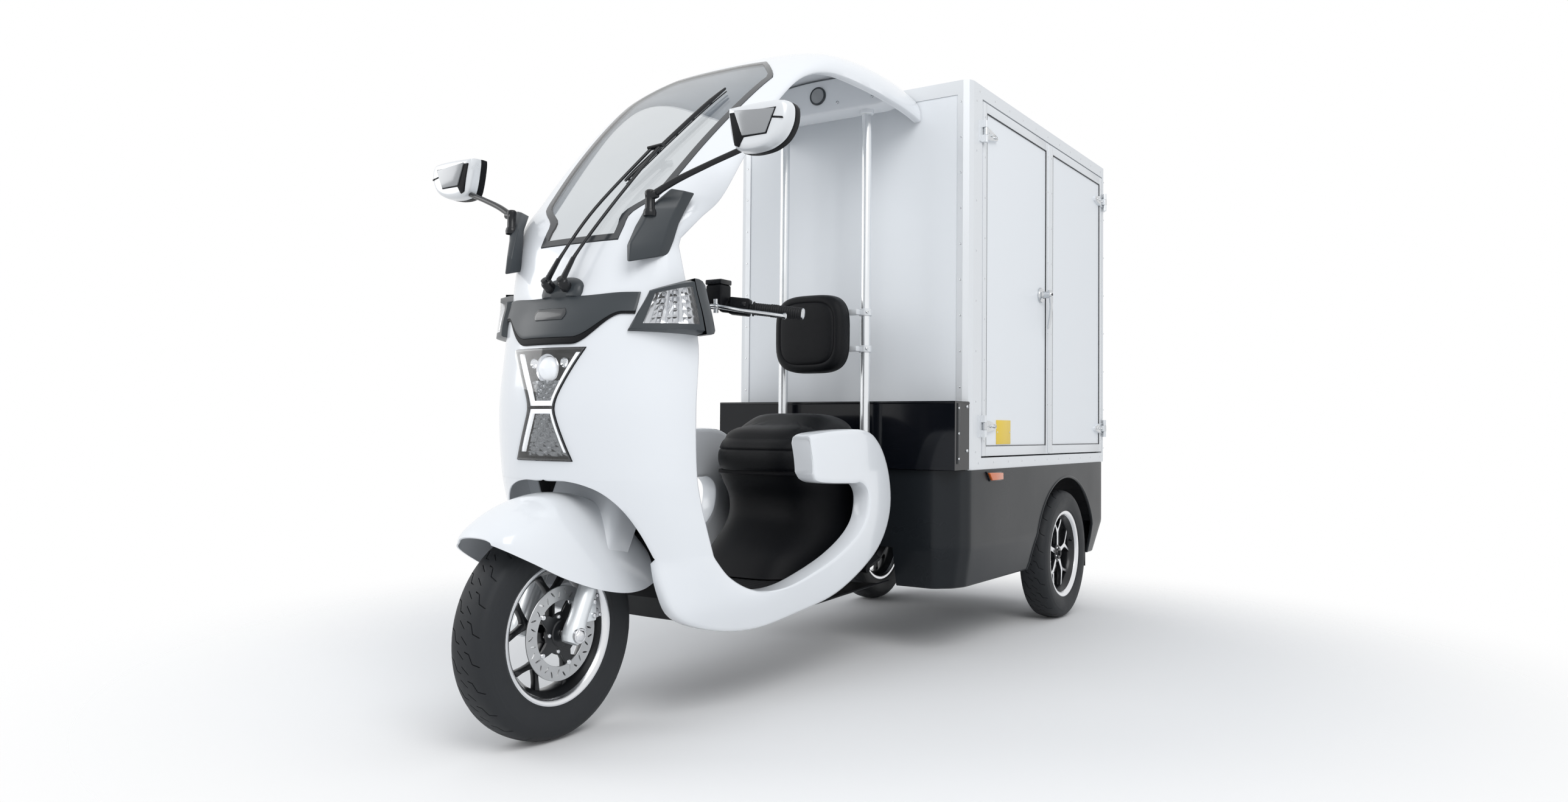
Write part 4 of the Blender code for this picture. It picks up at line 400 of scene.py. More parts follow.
def carve(obj, form):
    """Cuts a closed form out of a piece and keeps the result as its mesh."""
    tool = form.build("carver", 1e-6)
    step = obj.modifiers.new("cut", "BOOLEAN")
    step.object = tool
    cut = bpy.data.meshes.new_from_object(obj.evaluated_get(bpy.context.evaluated_depsgraph_get()))
    obj.modifiers.remove(step)
    bpy.data.objects.remove(tool, do_unlink=True)
    smooth(cut, 38)
    obj.data = cut


def close_rims(form, near, far, mark):
    form.grid([far[0], near[0]], mark)
    form.grid([near[-1], far[-1]], mark)
    form.grid([[row[0] for row in sheet] for sheet in (near, far)], mark)
    form.grid([[row[-1] for row in sheet] for sheet in (far, near)], mark)


def closed_slab(form, near, far, mark=0):
    form.grid(near, mark)
    form.grid([row[::-1] for row in far], mark)
    close_rims(form, near, far, mark)


def grid_normals(rows):
    """The outward direction at each point of a grid, from its neighbours."""
    def normal(i, j):
        along = rows[min(len(rows) - 1, i + 1)][j] - rows[max(0, i - 1)][j]
        across = rows[i][min(len(rows[i]) - 1, j + 1)] - rows[i][max(0, j - 1)]
        return across.cross(along).normalized()
    return [[normal(i, j) for j in range(len(row))] for i, row in enumerate(rows)]


def thick(form, rows, wall):
    """A closed sheet: the given grid and its offset."""
    closed_slab(form, rows, [[p - n * wall for p, n in zip(*both)]
                             for both in zip(rows, grid_normals(rows))])


# Front body: shell, canopy and side rails in one moulding

SHELL_ROWS = [(0.4205, 0.036, 0.266, 0.285), (0.48, 0.014, 0.24, 0.286), (0.55, -0.008, 0.212, 0.287),
              (0.62, -0.022, 0.192, 0.289), (0.77, -0.031, 0.182, 0.292), (0.92, -0.017, 0.194, 0.288),
              (0.99, -0.002, 0.184, 0.282), (1.05, 0.03, 0.17, 0.273), (1.1717, 0.0798, 0.152, 0.255)]
ARCH = [(0.0, 0.606), (0.07, 0.603), (0.12, 0.592), (0.158, 0.572), (0.19, 0.535), (0.212, 0.48),
        (0.226, 0.41)]
HOOP = [(0.228, 0.13, 0.42, 0.285, 0.266, 0.42), (0.238, 0.15, 0.345, 0.288, 0.322, 0.366),
        (0.25, 0.196, 0.276, 0.292, 0.4, 0.326), (0.262, 0.32, 0.234, 0.296, 0.48, 0.308),
        (0.272, 0.48, 0.218, 0.3, 0.58, 0.308), (0.281, 0.665, 0.236, 0.304, 0.7, 0.33),
        (0.29, 0.85, 0.266, 0.307, 0.82, 0.362), (0.297, 1.01, 0.33, 0.31, 0.925, 0.408),
        (0.302, 1.105, 0.402, 0.312, 0.985, 0.456), (0.305, 1.146, 0.497, 0.313, 1.004, 0.51),
        (0.305, 1.128, 0.606, 0.313, 0.996, 0.552), (0.305, 1.062, 0.69, 0.313, 0.958, 0.578),
        (0.305, 0.96, 0.722, 0.313, 0.9, 0.58), (0.303, 0.712, 0.71, 0.311, 0.722, 0.59),
        (0.296, 0.684, 0.69, 0.304, 0.69, 0.612)]
HOOP_DEPTH = 0.058
CANOPY_ROWS = [(0.078, 1.169, 0.256, 0.15, 1.169), (0.132, 1.262, 0.292, 0.196, 1.232),
               (0.202, 1.352, 0.302, 0.262, 1.29), (0.302, 1.464, 0.303, 0.35, 1.404),
               (0.42, 1.58, 0.303, 0.43, 1.505), (0.54, 1.682, 0.303, 0.52, 1.605),
               (0.67, 1.773, 0.303, 0.63, 1.69), (0.82, 1.84, 0.303, 0.77, 1.74),
               (0.98, 1.877, 0.303, 0.96, 1.756), (1.13, 1.891, 0.3, 1.13, 1.76),
               (1.27, 1.893, 0.293, 1.27, 1.76), (1.39, 1.888, 0.28, 1.39, 1.758)]
CANOPY_STEPS = [(float(i), *row) for i, row in enumerate(CANOPY_ROWS)]
CANOPY_POWER = 2.6
SHELL_LOW = SHELL_ROWS[0][0]
ARCH_TOP = ARCH[0][1]
COLUMNS = 18
ROOF_LIMIT = 1.8929
EDGE_SHARES = ((0, 0), (0.15, 0.001), (0.3, 0.0018), (0.7, 0.0018), (0.85, 0.001), (1, 0))


def shell_point(z, across):
    z, nose, edge, half = spline_at(SHELL_ROWS, z)
    power = 2 / (2 + 0.6 * max(0, min(1, (z - 1.03) / 0.14)))
    a = across * pi / 2
    return Vector((half * sin(a) ** power if across > 0 else 0,
                   edge - (edge - nose) * (cos(a) ** power if across < 1 else 0), z))


def on_shell(across, z, proud):
    """A point off the shell's skin, moved level and square to it."""
    step = 0.004
    run = shell_point(z, min(1, abs(across) + step)) - shell_point(z, max(0, abs(across) - step))
    run.normalize()
    point = shell_point(z, abs(across)) + Vector((run.y, -run.x, 0)) * proud
    return other_side(point) if across < 0 else point


def across_for(x, z):
    half = spline_at(SHELL_ROWS, z)[3]
    return 2 / pi * asin(min(0.9999, abs(x) / half)) * (-1 if x < 0 else 1)


def skin_at(x, z, proud):
    return on_shell(across_for(x, z), z, proud)


def canopy_point(s, across, proud=0):
    cy, cz, ex, ey, ez = spline_at(CANOPY_STEPS, s)[1:]
    a = across * pi / 2
    side = sin(a) ** (2 / CANOPY_POWER) if across > 0 else 0
    rise = cos(a) ** (2 / CANOPY_POWER) if across < 1 else 0
    normal = Vector((0.35 * side, -1 if cy < 0.75 else 0, 1)).normalized()
    return Vector((ex * side, ey + (cy - ey) * rise, ez + (cz - ez) * rise)) + normal * proud


def on_screen(s, x, proud):
    ex = spline_at(CANOPY_STEPS, s)[3]
    across = 2 / pi * asin(min(0.999, abs(x) / ex) ** (CANOPY_POWER / 2))
    point = canopy_point(s, across, proud)
    return point if x >= 0 else other_side(point)


def rail_edge(start, run, wide):
    """From a rail's outer face round its edge to the inner face."""
    r = 0.0085
    turns = ((0, 0), (0.7, 0.3 * r), (1, r), (1, wide - r), (0.7, wide - 0.3 * r), (0, wide))
    return [start + run * r * out - X * back for out, back in turns]


def front_body():
    """Outer face, rolled edge, return flange and inner face, from the rails' ends to the roof's rear edge."""
    shares = spaced(0, 1, COLUMNS)
    outer = []
    styles = []
    for section in reversed(spline(HOOP, 5)[1:]):
        near = Vector(section[:3])
        far = Vector(section[3:])
        bulge = 0.0155 * max(0, 1 - max(0, near.y - 0.1) / 0.42) ** 1.5 + 0.002
        outer.append([near.lerp(far, t) + X * bulge * (1 - (2 * t - 1) ** 2) for t in shares])
        depth = min(1, 0.35 + 1.9 * max(0, 0.42 - near.z) if near.y < 0.3 else 1)
        styles.append(("rail", HOOP_DEPTH * depth))
    foot = [(z, x) for x, z in spline(ARCH, 7) if SHELL_LOW < z < ARCH_TOP - 0.0001]
    levels = [(SHELL_LOW, 0.2252)] + sorted(foot) + [(ARCH_TOP, 0)]
    levels += [(z, None) for z in spaced(ARCH_TOP, 1.16, 26)[1:]]
    for z, x in levels:
        start = across_for(x, z) if x else 0
        outer.append([shell_point(z, start + (1 - start) * t) for t in shares])
        styles.append(("shell" if x is None else "arch", 0))
    for s in spaced(0, 11, 66)[1:]:
        outer.append([canopy_point(s, t) for t in shares])
        styles.append(("canopy", 0))
    rims = []
    inner = []
    fronts = []
    for row, line, (style, wide) in zip(outer, grid_normals(outer), styles):
        edge = row[-1]
        start_run = (row[0] - row[1]).normalized()
        if style == "rail":
            back = [p - X * wide for p in row]
            rims.append(rail_edge(edge, (edge - row[-2]).normalized(), wide))
            fronts.append(rail_edge(row[0], start_run, wide)[::-1])
        else:
            back = [p - n * 0.004 for p, n in zip(row, line)]
            for p, q in zip(row, back):
                if p.x == 0:
                    q.x = 0
            reach = [(-0.0015, 0.006, 0), (-0.007, 0.012, 0), (-0.03, 0.016, 0), (-0.03, 0.013, -0.001)]
            if style == "canopy":
                reach = [(-0.0015, 0.002, -0.002), (-0.007, 0.004, -0.004), (-0.022, 0.004, -0.004),
                         (-0.022, 0.001, -0.005)]
            rims.append([edge] + [edge + Vector(r) for r in reach] + [back[-1]])
            if style == "arch":
                fronts.append([back[0].lerp(row[0], t) + start_run * out for t, out in EDGE_SHARES])
        inner.append(back[::-1])
    form = Form()
    for rows in (outer, rims, inner, fronts):
        form.grid(rows)
    loop = outer[0] + rims[0][1:] + inner[0][1:] + fronts[0][1:-1]
    form.add(loop, [tuple(reversed(range(len(loop))))])
    form.grid([inner[-1][::-1], outer[-1]])
    form.add(rims[-1], [tuple(range(len(rims[-1])))])
    for point in form.points:
        point.z = min(point.z, ROOF_LIMIT)
        if abs(point.x) < 1e-6:
            point.x = 0
    form.mirror()
    return form.make("front_body", [PAINT], angle=50, weld=1e-5,
                     stands_for=("front_shell", "canopy_shell", "side_hoop_left", "side_hoop_right"))


SCREEN_OUTLINE = [(0.09, 0.128), (0.45, 0.13), (0.8, 0.133), (1.15, 0.17), (1.4, 0.192), (2.0, 0.205),
                  (3.0, 0.222), (4.0, 0.238), (5.0, 0.251), (5.2, 0.251), (5.6, 0.205), (5.95, 0.158)]
SCREEN_LOW = SCREEN_OUTLINE[0][0]
SCREEN_HIGH = SCREEN_OUTLINE[-1][0]
LAMP_OUTLINE = [(0.65, 0.09), (0.672, 0.08), (0.7, 0.068), (0.745, 0.05), (0.772, 0.043), (0.8, 0.05),
                (0.86, 0.082), (0.9, 0.106), (0.914, 0.115)]
LAMP_LOW = LAMP_OUTLINE[0][0]
LAMP_HIGH = LAMP_OUTLINE[-1][0]
PLAY = 0.0009


def screen_half(s):
    return spline_at(SCREEN_OUTLINE, s)[1]


def lamp_half(z):
    return spline_at(LAMP_OUTLINE, z)[1]


def screen_grid(proud):
    """The screen's opening, a little larger than the screen."""
    return [[on_screen(s, (screen_half(s) + PLAY) * (2 * t - 1), proud) for t in spaced(0, 1, 16)]
            for s in spaced(SCREEN_LOW - 0.02, SCREEN_HIGH + 9 * PLAY, 44)]


def lamp_grid(proud, grow=0, columns=14, steps=24):
    return [[skin_at((lamp_half(z) + grow) * (2 * t - 1), z, proud) for t in spaced(0, 1, columns)]
            for z in spaced(LAMP_LOW - grow, LAMP_HIGH + grow, steps)]


def cut_front_body(body):
    for near, far in ((screen_grid(0.045), screen_grid(-0.035)),
                      (lamp_grid(0.04, PLAY), lamp_grid(-0.02, PLAY))):
        opening = Form()
        closed_slab(opening, near, far)
        carve(body, opening)


def windscreen():
    """The screen and its printed border, about 20 mm wide and broader low on each side."""
    form = Form()
    steps = [SCREEN_LOW, SCREEN_LOW + 0.08] + spaced(SCREEN_LOW + 0.16, SCREEN_HIGH - 0.14, 40)
    steps += [SCREEN_HIGH - 0.07, SCREEN_HIGH]
    sheets = []
    for proud in (0.0015, -0.0035):
        rows = []
        for s in steps:
            half = screen_half(s)
            band = 0.019 + 0.01 * max(0, 1 - abs(s - 1) / 0.5)
            xs = [-half, band * 0.5 - half] + spaced(band - half, half - band, 14)
            xs += [half - band * 0.5, half]
            rows.append([on_screen(s, x, proud) for x in xs])
        sheets.append(rows)
    near, far = sheets
    count = len(near[0])
    last = len(steps) - 1
    for sheet, run in ((near, 1), (far, -1)):
        for i in range(last):
            middle = 1 if i < 2 or i >= last - 2 else 0
            for a, b, mark in ((0, 2, 1), (2, count - 3, middle), (count - 3, count - 1, 1)):
                form.grid([row[a:b + 1][::run] for row in sheet[i:i + 2]], mark)
    close_rims(form, near, far, 1)
    form.make("windscreen", [SCREEN_GLASS, BAND], weld=1e-5, angle=30)


def shell_plate(form, place, across_cuts, up_cuts, top, bottom, bevel, mark=0):
    """A plate with rolled edges; place turns two shares and a height off the skin into a point."""
    us = [0, 0] + across_cuts + [1, 1]
    vs = [0, 0] + up_cuts + [1, 1]
    heights = (bottom, top - bevel, top)
    form.grid([[place(u, v, heights[min(i, j, len(us) - 1 - i, len(vs) - 1 - j, 2)])
                for i, u in enumerate(us)] for j, v in enumerate(vs)], mark)


def peaks(form, corners, middle, mark):
    form.add(corners + [middle], [(0, 1, 4), (1, 2, 4), (2, 3, 4), (3, 0, 4)], mark)


def headlight():
    """A black bowl with a projector, two bent light strips and a clear cover."""
    bowl = Form()
    loops = []
    for proud, grow in ((-0.006, -0.0005), (0.003, -0.0005), (0.003, -0.005), (-0.006, -0.003),
                        (-0.03, -0.008), (-0.036, -0.01)):
        rows = lamp_grid(proud, grow)
        loops.append(rows[0] + [row[-1] for row in rows[1:]] + rows[-1][-2::-1]
                     + [row[0] for row in rows[-2:0:-1]])
    bowl.grid(loops, across=True)
    bowl.grid(rows)

    def leg(side, foot, head, wide_foot, wide_head):
        """A light bar along one side of the lamp's outline."""
        def place(u, v, proud):
            z = foot + (head - foot) * v
            out = lamp_half(z) - 0.0065 - (wide_foot + (wide_head - wide_foot) * v) * u
            return skin_at(side * out, z, proud)
        shell_plate(bowl, place, [0.12, 0.3, 0.7, 0.88], spaced(0, 1, 12)[1:-1], -0.001, -0.009, 0.0016, 1)

    def bar(low, high):
        """The short bar that joins two legs at the waist."""
        def place(u, v, proud):
            z = low + (high - low) * v
            return skin_at((lamp_half(z) - 0.0065) * (2 * u - 1), z, proud)
        cuts = [0.04] + spaced(0, 1, 10)[1:-1] + [0.96]
        shell_plate(bowl, place, cuts, [0.15, 0.5, 0.85], -0.0012, -0.009, 0.0016, 1)

    def facets(low, high, columns, levels, gap_low, gap_high):
        """A reflector of small slanted faces between the legs."""
        def corner(u, v):
            z = low + (high - low) * v / levels
            gap = gap_low + (gap_high - gap_low) * v / levels
            return skin_at((lamp_half(z) - gap) * (2 * u / columns - 1), z, -0.014)
        for j in range(levels):
            for i in range(columns):
                corners = [corner(i, j), corner(i + 1, j), corner(i + 1, j + 1), corner(i, j + 1)]
                tip = Vector((0.0012 * ((i * 5 + j * 3) % 4 - 1.5), -0.0015 - 0.0016 * ((i * 7 + j * 5) % 3),
                              0.0015))
                peaks(bowl, corners, sum(corners, Vector()) / 4 + tip, 4)
    for side in (-1, 1):
        leg(side, 0.7785, 0.903, 0.01, 0.012)
        leg(side, 0.67, 0.7705, 0.009, 0.01)
    bar(0.7785, 0.79)
    bar(0.76, 0.7705)
    facets(0.79, 0.838, 8, 5, 0.017, 0.018)
    facets(0.66, 0.76, 9, 9, 0.016, 0.017)
    eye = on_shell(0, 0.866, -0.018)
    bowl.lathe([(0.037, -0.012), (0.037, 0.004), (0.035, 0.006), (0.031, 0.002), (0.0295, -0.004)], eye, -Y,
               3, 40)
    bowl.lathe([(0.029, -0.003), (0.0265, 0.006), (0.02, 0.0115), (0.0105, 0.0145), (0.0001, 0.0155)], eye,
               -Y, 2, 32)
    for x in (-0.052, 0.052):
        bowl.lathe([(0.0125, -0.006), (0.0125, 0.004), (0.0112, 0.0052), (0.0085, 0.001), (0.0001, -0.001)],
                   skin_at(x, 0.88, -0.018), -Y, 3, 28)
    bowl.make("headlight_inside", [LAMP_BLACK, LED, BULB, REFLECTOR, SMOKED], weld=0,
              stands_for=("headlight",))
    cover = Form()
    closed_slab(cover, lamp_grid(0.0078, -0.0008, 18, 30), lamp_grid(0.0052, -0.0008, 18, 30))
    cover.make("headlight_cover", [CLEAR], angle=50, weld=0)


TRIM_ROWS = [(0.0, 0.922, 0.992), (0.33, 0.96, 1.005), (0.67, 1.0, 1.021), (1.0, 1.038, 1.044)]
TRIM_REACH = 0.555


def front_trim():
    """The dark panel with its wings, lower lip and blank badge."""
    form = Form()

    def panel(low, high, cuts, top, mark):
        """The panel's share of height from low to high."""
        def place(u, v, proud):
            v = low + (high - low) * v
            a, b = spline_at(TRIM_ROWS, v)[1:]
            t = abs(2 * u - 1) * (1 - 0.04 * (1 - v))
            return on_shell(t * TRIM_REACH * (-1 if u < 0.5 else 1), blend_in(a, b, (t - 0.3) / 0.52), proud)
        shell_plate(form, place, [0.006] + spaced(0, 1, 60)[1:-1] + [0.994], cuts, top, -0.003, 0.0012, mark)

    def badge(u, v, proud):
        return skin_at((0.05 - 0.008 * (2 * v - 1) ** 2) * (2 * u - 1), 0.981 + 0.028 * v, proud)
    panel(0.15, 1, [0.03, 0.1, 0.3, 0.5, 0.7, 0.9, 0.97], 0.0062, 0)
    panel(0, 0.15, [0.08, 0.3, 0.7, 0.92], 0.0044, 1)
    shell_plate(form, badge, [0.03] + spaced(0, 1, 10)[1:-1] + [0.97], [0.06, 0.3, 0.5, 0.7, 0.94], 0.0086,
                0.004, 0.001, 2)
    form.make("front_trim_panel", [TRIM, BLACK, BADGE], angle=45, weld=0)


LENS_BOX = (0.16, 0.9, 0.17, 0.86)


def pod_out(u):
    return 0.012 + 0.044 * blend_in(0, 1, u * 0.8 + 0.1) if u > 0 else 0.008


def pod_spot(u, v, out):
    """A point off the shell: u runs from the pod's slanted front edge to the side, v from its foot up."""
    lean = 0.486 + (0.618 - 0.486) * v
    low = 0.951 - 0.003 * u
    across = lean + (1 - lean) * u
    z = low + (1.048 + 0.029 * u ** 0.8 - low) * v
    base = on_shell(across, z, 0)
    away = (on_shell(across, z, 0.05) - base).normalized()
    return base + (away * 0.6 + Vector((0.35, -0.65, 0)).normalized() * 0.4).normalized() * out


def pod_sheet(columns, levels, out):
    u0, u1, v0, v1 = LENS_BOX
    return [[pod_spot(u, v, pod_out(u) + out) for v in spaced(v0, v1, levels)]
            for u in spaced(u0, u1, columns)]


def pods():
    """The dark pod at each side of the shell with its clear faceted lens."""
    u0, u1, v0, v1 = LENS_BOX
    us = [0, 0.012, 0.035, u0 * 0.6, u0 - 0.02] + spaced(u0, u1, 10) + [u1 + 0.02, 0.965, 0.988, 1]
    vs = [0, 0.02, 0.06, v0 - 0.02] + spaced(v0, v1, 8) + [v1 + 0.02, 0.94, 0.98, 1]
    hole_u = us[5:16]
    hole_v = vs[4:13]

    def border(u, v):
        rim = max(0, min(u / 0.035, (1 - u) / 0.035, v / 0.06, (1 - v) / 0.06, 1))
        return pod_spot(u, v, -0.003 + (pod_out(u) + 0.003) * sin(rim * pi / 2) ** 0.6)
    for side, name in SIDES:
        form = Form()
        grid = [[border(u, v) for v in vs] for u in us]
        for i in range(len(us) - 1):
            for j in range(len(vs) - 1):
                if not (us[i] in hole_u[:-1] and vs[j] in hole_v[:-1]):
                    form.add([grid[i][j], grid[i + 1][j], grid[i + 1][j + 1], grid[i][j + 1]],
                             [(0, 1, 2, 3)])
        loop = [(u, v0) for u in hole_u] + [(u1, v) for v in hole_v[1:]] + [(u, v1) for u in hole_u[-2::-1]]
        loop += [(u0, v) for v in hole_v[-2:0:-1]]
        form.grid([[pod_spot(u, v, pod_out(u) - deep) for u, v in loop] for deep in (0, 0.01)], 1,
                  across=True)
        form.grid(pod_sheet(12, 8, -0.014), 2)
        for wall in (0.36, 0.62):
            u = u0 + (u1 - u0) * wall
            form.grid([[pod_spot(u, v, pod_out(u) - deep) for v in spaced(v0, v1, 6)]
                       for deep in (0.014, 0.0035)], 2)
        cells = pod_sheet(10, 5, -0.0105)
        u_step = (u1 - u0) / 10
        v_step = (v1 - v0) / 5
        for i in range(10):
            for j in range(5):
                u = u0 + u_step * i
                tip = pod_spot(u + u_step * 0.35, v0 + v_step * (j + 0.6),
                               pod_out(u) - 0.0115 - 0.0018 * ((i * 7 + j * 3) % 3))
                peaks(form, [cells[i][j], cells[i + 1][j], cells[i + 1][j + 1], cells[i][j + 1]], tip, 2)
        lens = Form()
        closed_slab(lens, pod_sheet(16, 10, 0.0002), pod_sheet(16, 10, -0.0016))
        rear = [pod_spot(1, v, pod_out(1) * 0.94) for v in spaced(0, 1, 10)]
        rear += [pod_spot(1, v, -0.003) for v in spaced(1, 0, 10)]
        middle = sum(rear, Vector()) / len(rear)
        rows = [[middle + (p - middle) * shrink + Y * back for p in rear]
                for back, shrink in ((0, 1), (0.016, 1), (0.03, 0.95), (0.04, 0.82), (0.045, 0.6))]
        form.grid(rows, across=True)
        form.add(rows[-1], [tuple(range(len(rear)))])
        if side < 0:
            form.cross_over()
            lens.cross_over()
        form.make("indicator_%s_body" % name, [TRIM, SMOOTH_BLACK, REFLECTOR],
                  stands_for=("indicator_" + name,))
        lens.make("indicator_%s_lens" % name, [CLEAR], angle=30, weld=0)


TYRE_RADIUS = 0.25
FRONT_WHEEL = Vector((0, 0, TYRE_RADIUS))
RAKE = radians(25)
STEER_DIR = Vector((0, sin(RAKE), cos(RAKE)))
AHEAD_DIR = Vector((0, -cos(RAKE), sin(RAKE)))
STEER_FOOT = FRONT_WHEEL - AHEAD_DIR * 0.05
FENDER = [(-0.222, 0.486, -0.219, 0.472, 0.052), (-0.188, 0.515, -0.196, 0.456, 0.084),
          (-0.125, 0.551, -0.138, 0.426, 0.105), (-0.04, 0.573, -0.056, 0.387, 0.115),
          (0.05, 0.572, 0.045, 0.352, 0.12), (0.13, 0.548, 0.135, 0.333, 0.122),
          (0.195, 0.508, 0.2, 0.333, 0.122), (0.238, 0.462, 0.243, 0.345, 0.12)]


def on_steering(distance, ahead=0, x=0):
    return STEER_FOOT + STEER_DIR * distance + AHEAD_DIR * ahead + X * x


def fender():
    rows = []
    for crown_y, crown_z, edge_y, edge_z, half in spline(FENDER, 6):
        row = []
        for j in range(33):
            a = (j / 16 - 1) * pi / 2
            drop = 1 - cos(a) ** 0.8 if cos(a) > 1e-9 else 1
            row.append(Vector((half * bent(sin(a), 0.8), crown_y + (edge_y - crown_y) * drop,
                               crown_z + (edge_z - crown_z) * drop)))
        rows.append(row)
    form = Form()
    thick(form, rows, 0.0035)
    skin = BVHTree.FromPolygons(form.points, form.faces)
    wide = 0.122
    long = 0.088
    corner = 0.036
    section = [(wide, ahead) for ahead in spaced(-0.012, long - corner, 5)[:-1]]
    for turn in spaced(0, pi / 2, 8):
        x, ahead = around(corner, turn)
        section.append((wide - corner + x, long - corner + ahead))
    section += [(x, long) for x in spaced(wide - corner, 0, 6)[1:]]
    section += [(-x, ahead) for x, ahead in section[-2::-1]]
    cover = []
    for x, ahead in section:
        top = on_steering(0.378, ahead * 0.97, x * 0.97)
        hit = skin.ray_cast(top, -STEER_DIR)[0]
        low = on_steering(0.2, ahead, x) if hit is None else hit - STEER_DIR * 0.01
        flare = Vector((-0.007 if x > 0 else 0.007, 0.002, 0)) if abs(x) > 0.09 else Y * 0.001
        cover.append([low.lerp(top, t) + flare * (1 - t) ** 3 for t in spaced(0, 1, 10)])
    thick(form, cover, 0.003)
    form.make("front_fender", [PAINT], body="steering", weld=1e-5, angle=60)


# Wheels

PITCHES = 24
PITCH = 2 * pi * TYRE_RADIUS / PITCHES
PITCH_STEPS = 7
TREAD_EDGE = 0.0496
TYRE_HALF_PROFILE = [(0.0424, 0.1604), (0.0428, 0.1655), (0.0462, 0.17), (0.0497, 0.179), (0.0528, 0.191),
                     (0.0546, 0.203), (0.0548, 0.214), (0.0532, 0.225), (TREAD_EDGE, 0.2345), (0.044, 0.241),
                     (0.034, 0.2458), (0.022, 0.2484), (0.011, 0.2497), (0.0, TYRE_RADIUS)]
CROWN = [(x, r) for x, r in reversed(TYRE_HALF_PROFILE) if x <= TREAD_EDGE and r > 0.23]
BOLT_GROOVE = [(0.007, 0.007), (0.0205, 0.012), (0.0285, 0.033), (0.0455, 0.0405)]
SLIT_GROOVE = [(-0.0045, 0.04), (0.0155, 0.0585)]
REAR_AXLE = 2.34
HALF_TRACK = 0.405


def groove_outline(path, wide):
    """A groove of even width along a path, pointed at both ends."""
    path = [Vector(p) for p in path]
    left = []
    right = []
    for before, point, after in zip(path, path[1:], path[2:]):
        a = (point - before).normalized()
        n = (a + (after - point).normalized()).normalized().orthogonal()
        n *= wide / max(0.5, abs(n.dot(a.orthogonal())))
        left.append(point + n)
        right.append(point - n)
    for tip, beside, sign in ((path[0], path[1], 1), (path[-1], path[-2], -1)):
        run = (beside - tip).normalized()
        n = run.orthogonal() * wide * sign
        place = 0 if sign > 0 else len(left)
        left.insert(place, tip + run * 0.0025 + n)
        right.insert(place, tip + run * 0.0025 - n)
    return [path[0]] + left + [path[-1]] + right[::-1]


def tread_pitch():
    """One pitch of the tread, flat: points (along, across), plain triangles, groove triangles."""
    points = []
    faces = []
    for path, wide in ((BOLT_GROOVE, 0.00125), (SLIT_GROOVE, 0.00105)):
        ring = [Vector((p.y, p.x)) for p in groove_outline(path, wide)]
        for part in (ring, [Vector((PITCH - p.x, -p.y)) for p in ring]):
            faces.append([len(points) + i for i in range(len(part))])
            points += part
    lines = list(points)
    for i in range(PITCH_STEPS + 1):
        for j in range(17):
            p = Vector((PITCH * i / PITCH_STEPS, TREAD_EDGE * (j / 8 - 1)))
            inner = 0 < i < PITCH_STEPS and 0 < j < 16
            if not inner or min((p - q).length for q in lines) > 0.003:
                points.append(p)
    made = delaunay_2d_cdt(points, [], faces, 0, 1e-7)
    sorted_faces = list(zip(made[2], made[5]))
    plain = [face for face, source in sorted_faces if not source]
    return made[0], plain, [face for face, source in sorted_faces if source]


def in_wheel(centre, out, radius, turn):
    """A point beside a wheel's centre, at a radius and a turn in the wheel's plane."""
    return Vector(centre) + Vector((out, *around(radius, turn)))


def tyre(name, centre, body):
    flat, plain, cut = tread_pitch()
    form = Form()
    edges = [edge for face in cut for edge in zip(face, face[1:] + face[:1])]
    inside = set(edges)
    walls = [(a, b) for a, b in edges if (b, a) not in inside]
    count = len(flat)
    for n in range(PITCHES):
        levels = [in_wheel(centre, p.y, spline_at(CROWN, abs(p.y))[1] - deep,
                           2 * pi * (p.x / PITCH + n) / PITCHES)
                  for deep in (0, 0.0034) for p in flat]
        form.add(levels, plain + [[count + i for i in face] for face in cut]
                 + [(a, b, count + b, count + a) for a, b in walls])
    half = [(x, r) for x, r in spline(TYRE_HALF_PROFILE, 4) if r < 0.2345 - 1e-6] + [(TREAD_EDGE, 0.2345)]
    half = [(x + (0.0007 if 0.1735 < r < 0.1775 or 0.219 < r < 0.2215 else 0), r) for x, r in half]
    bead = [(-0.0424, 0.1604), (-0.034, 0.1604), (-0.03, 0.18), (0.03, 0.18), (0.034, 0.1604),
            (0.0424, 0.1604)]
    turns = spaced(0, 2 * pi, PITCHES * PITCH_STEPS)[:-1]
    for profile in (half, [(-x, r) for x, r in half], bead):
        form.grid([[in_wheel(centre, x, r, a) for a in turns] for x, r in profile], across=True)
    form.make(name, [RUBBER], body=body, weld=1e-5, angle=32)


BARREL = [(0.166, 0.042), (0.1605, 0.0412), (0.156, 0.0385), (0.15, 0.03), (0.141, 0.019), (0.1385, 0.01)]
LIP = [(0.166, 0.042), (0.1676, 0.0428), (0.168, 0.0444), (0.167, 0.0458), (0.165, 0.046), (0.16, 0.0448),
       (0.1555, 0.043), (0.152, 0.0395), (0.1495, 0.035)]
WELL = [(0.1495, 0.035), (0.142, 0.024), (0.1365, 0.017), (0.1345, 0.008)]
HUB = [(0.0102, 0.0245), (0.018, 0.025), (0.02, 0.0235), (0.0215, 0.0195), (0.031, 0.019), (0.035, 0.0165),
       (0.036, 0.012)]
SPOKE_OUTER = [(0.029, 0.34), (0.05, 0.19), (0.066, 0.135), (0.082, 0.128), (0.094, 0.185), (0.11, 0.262),
               (0.124, 0.325), (0.1372, 0.372)]
SPOKE_INNER = [(0.1372, 0.248), (0.122, 0.205), (0.108, 0.13), (0.099, 0.05), (0.0965, 0.0)]
FIFTHS = [2 * pi * i / 5 for i in range(5)]


def both_ways(profile):
    """A profile with its mirror image in the second value."""
    return profile + [(r, -h) for r, h in reversed(profile)]


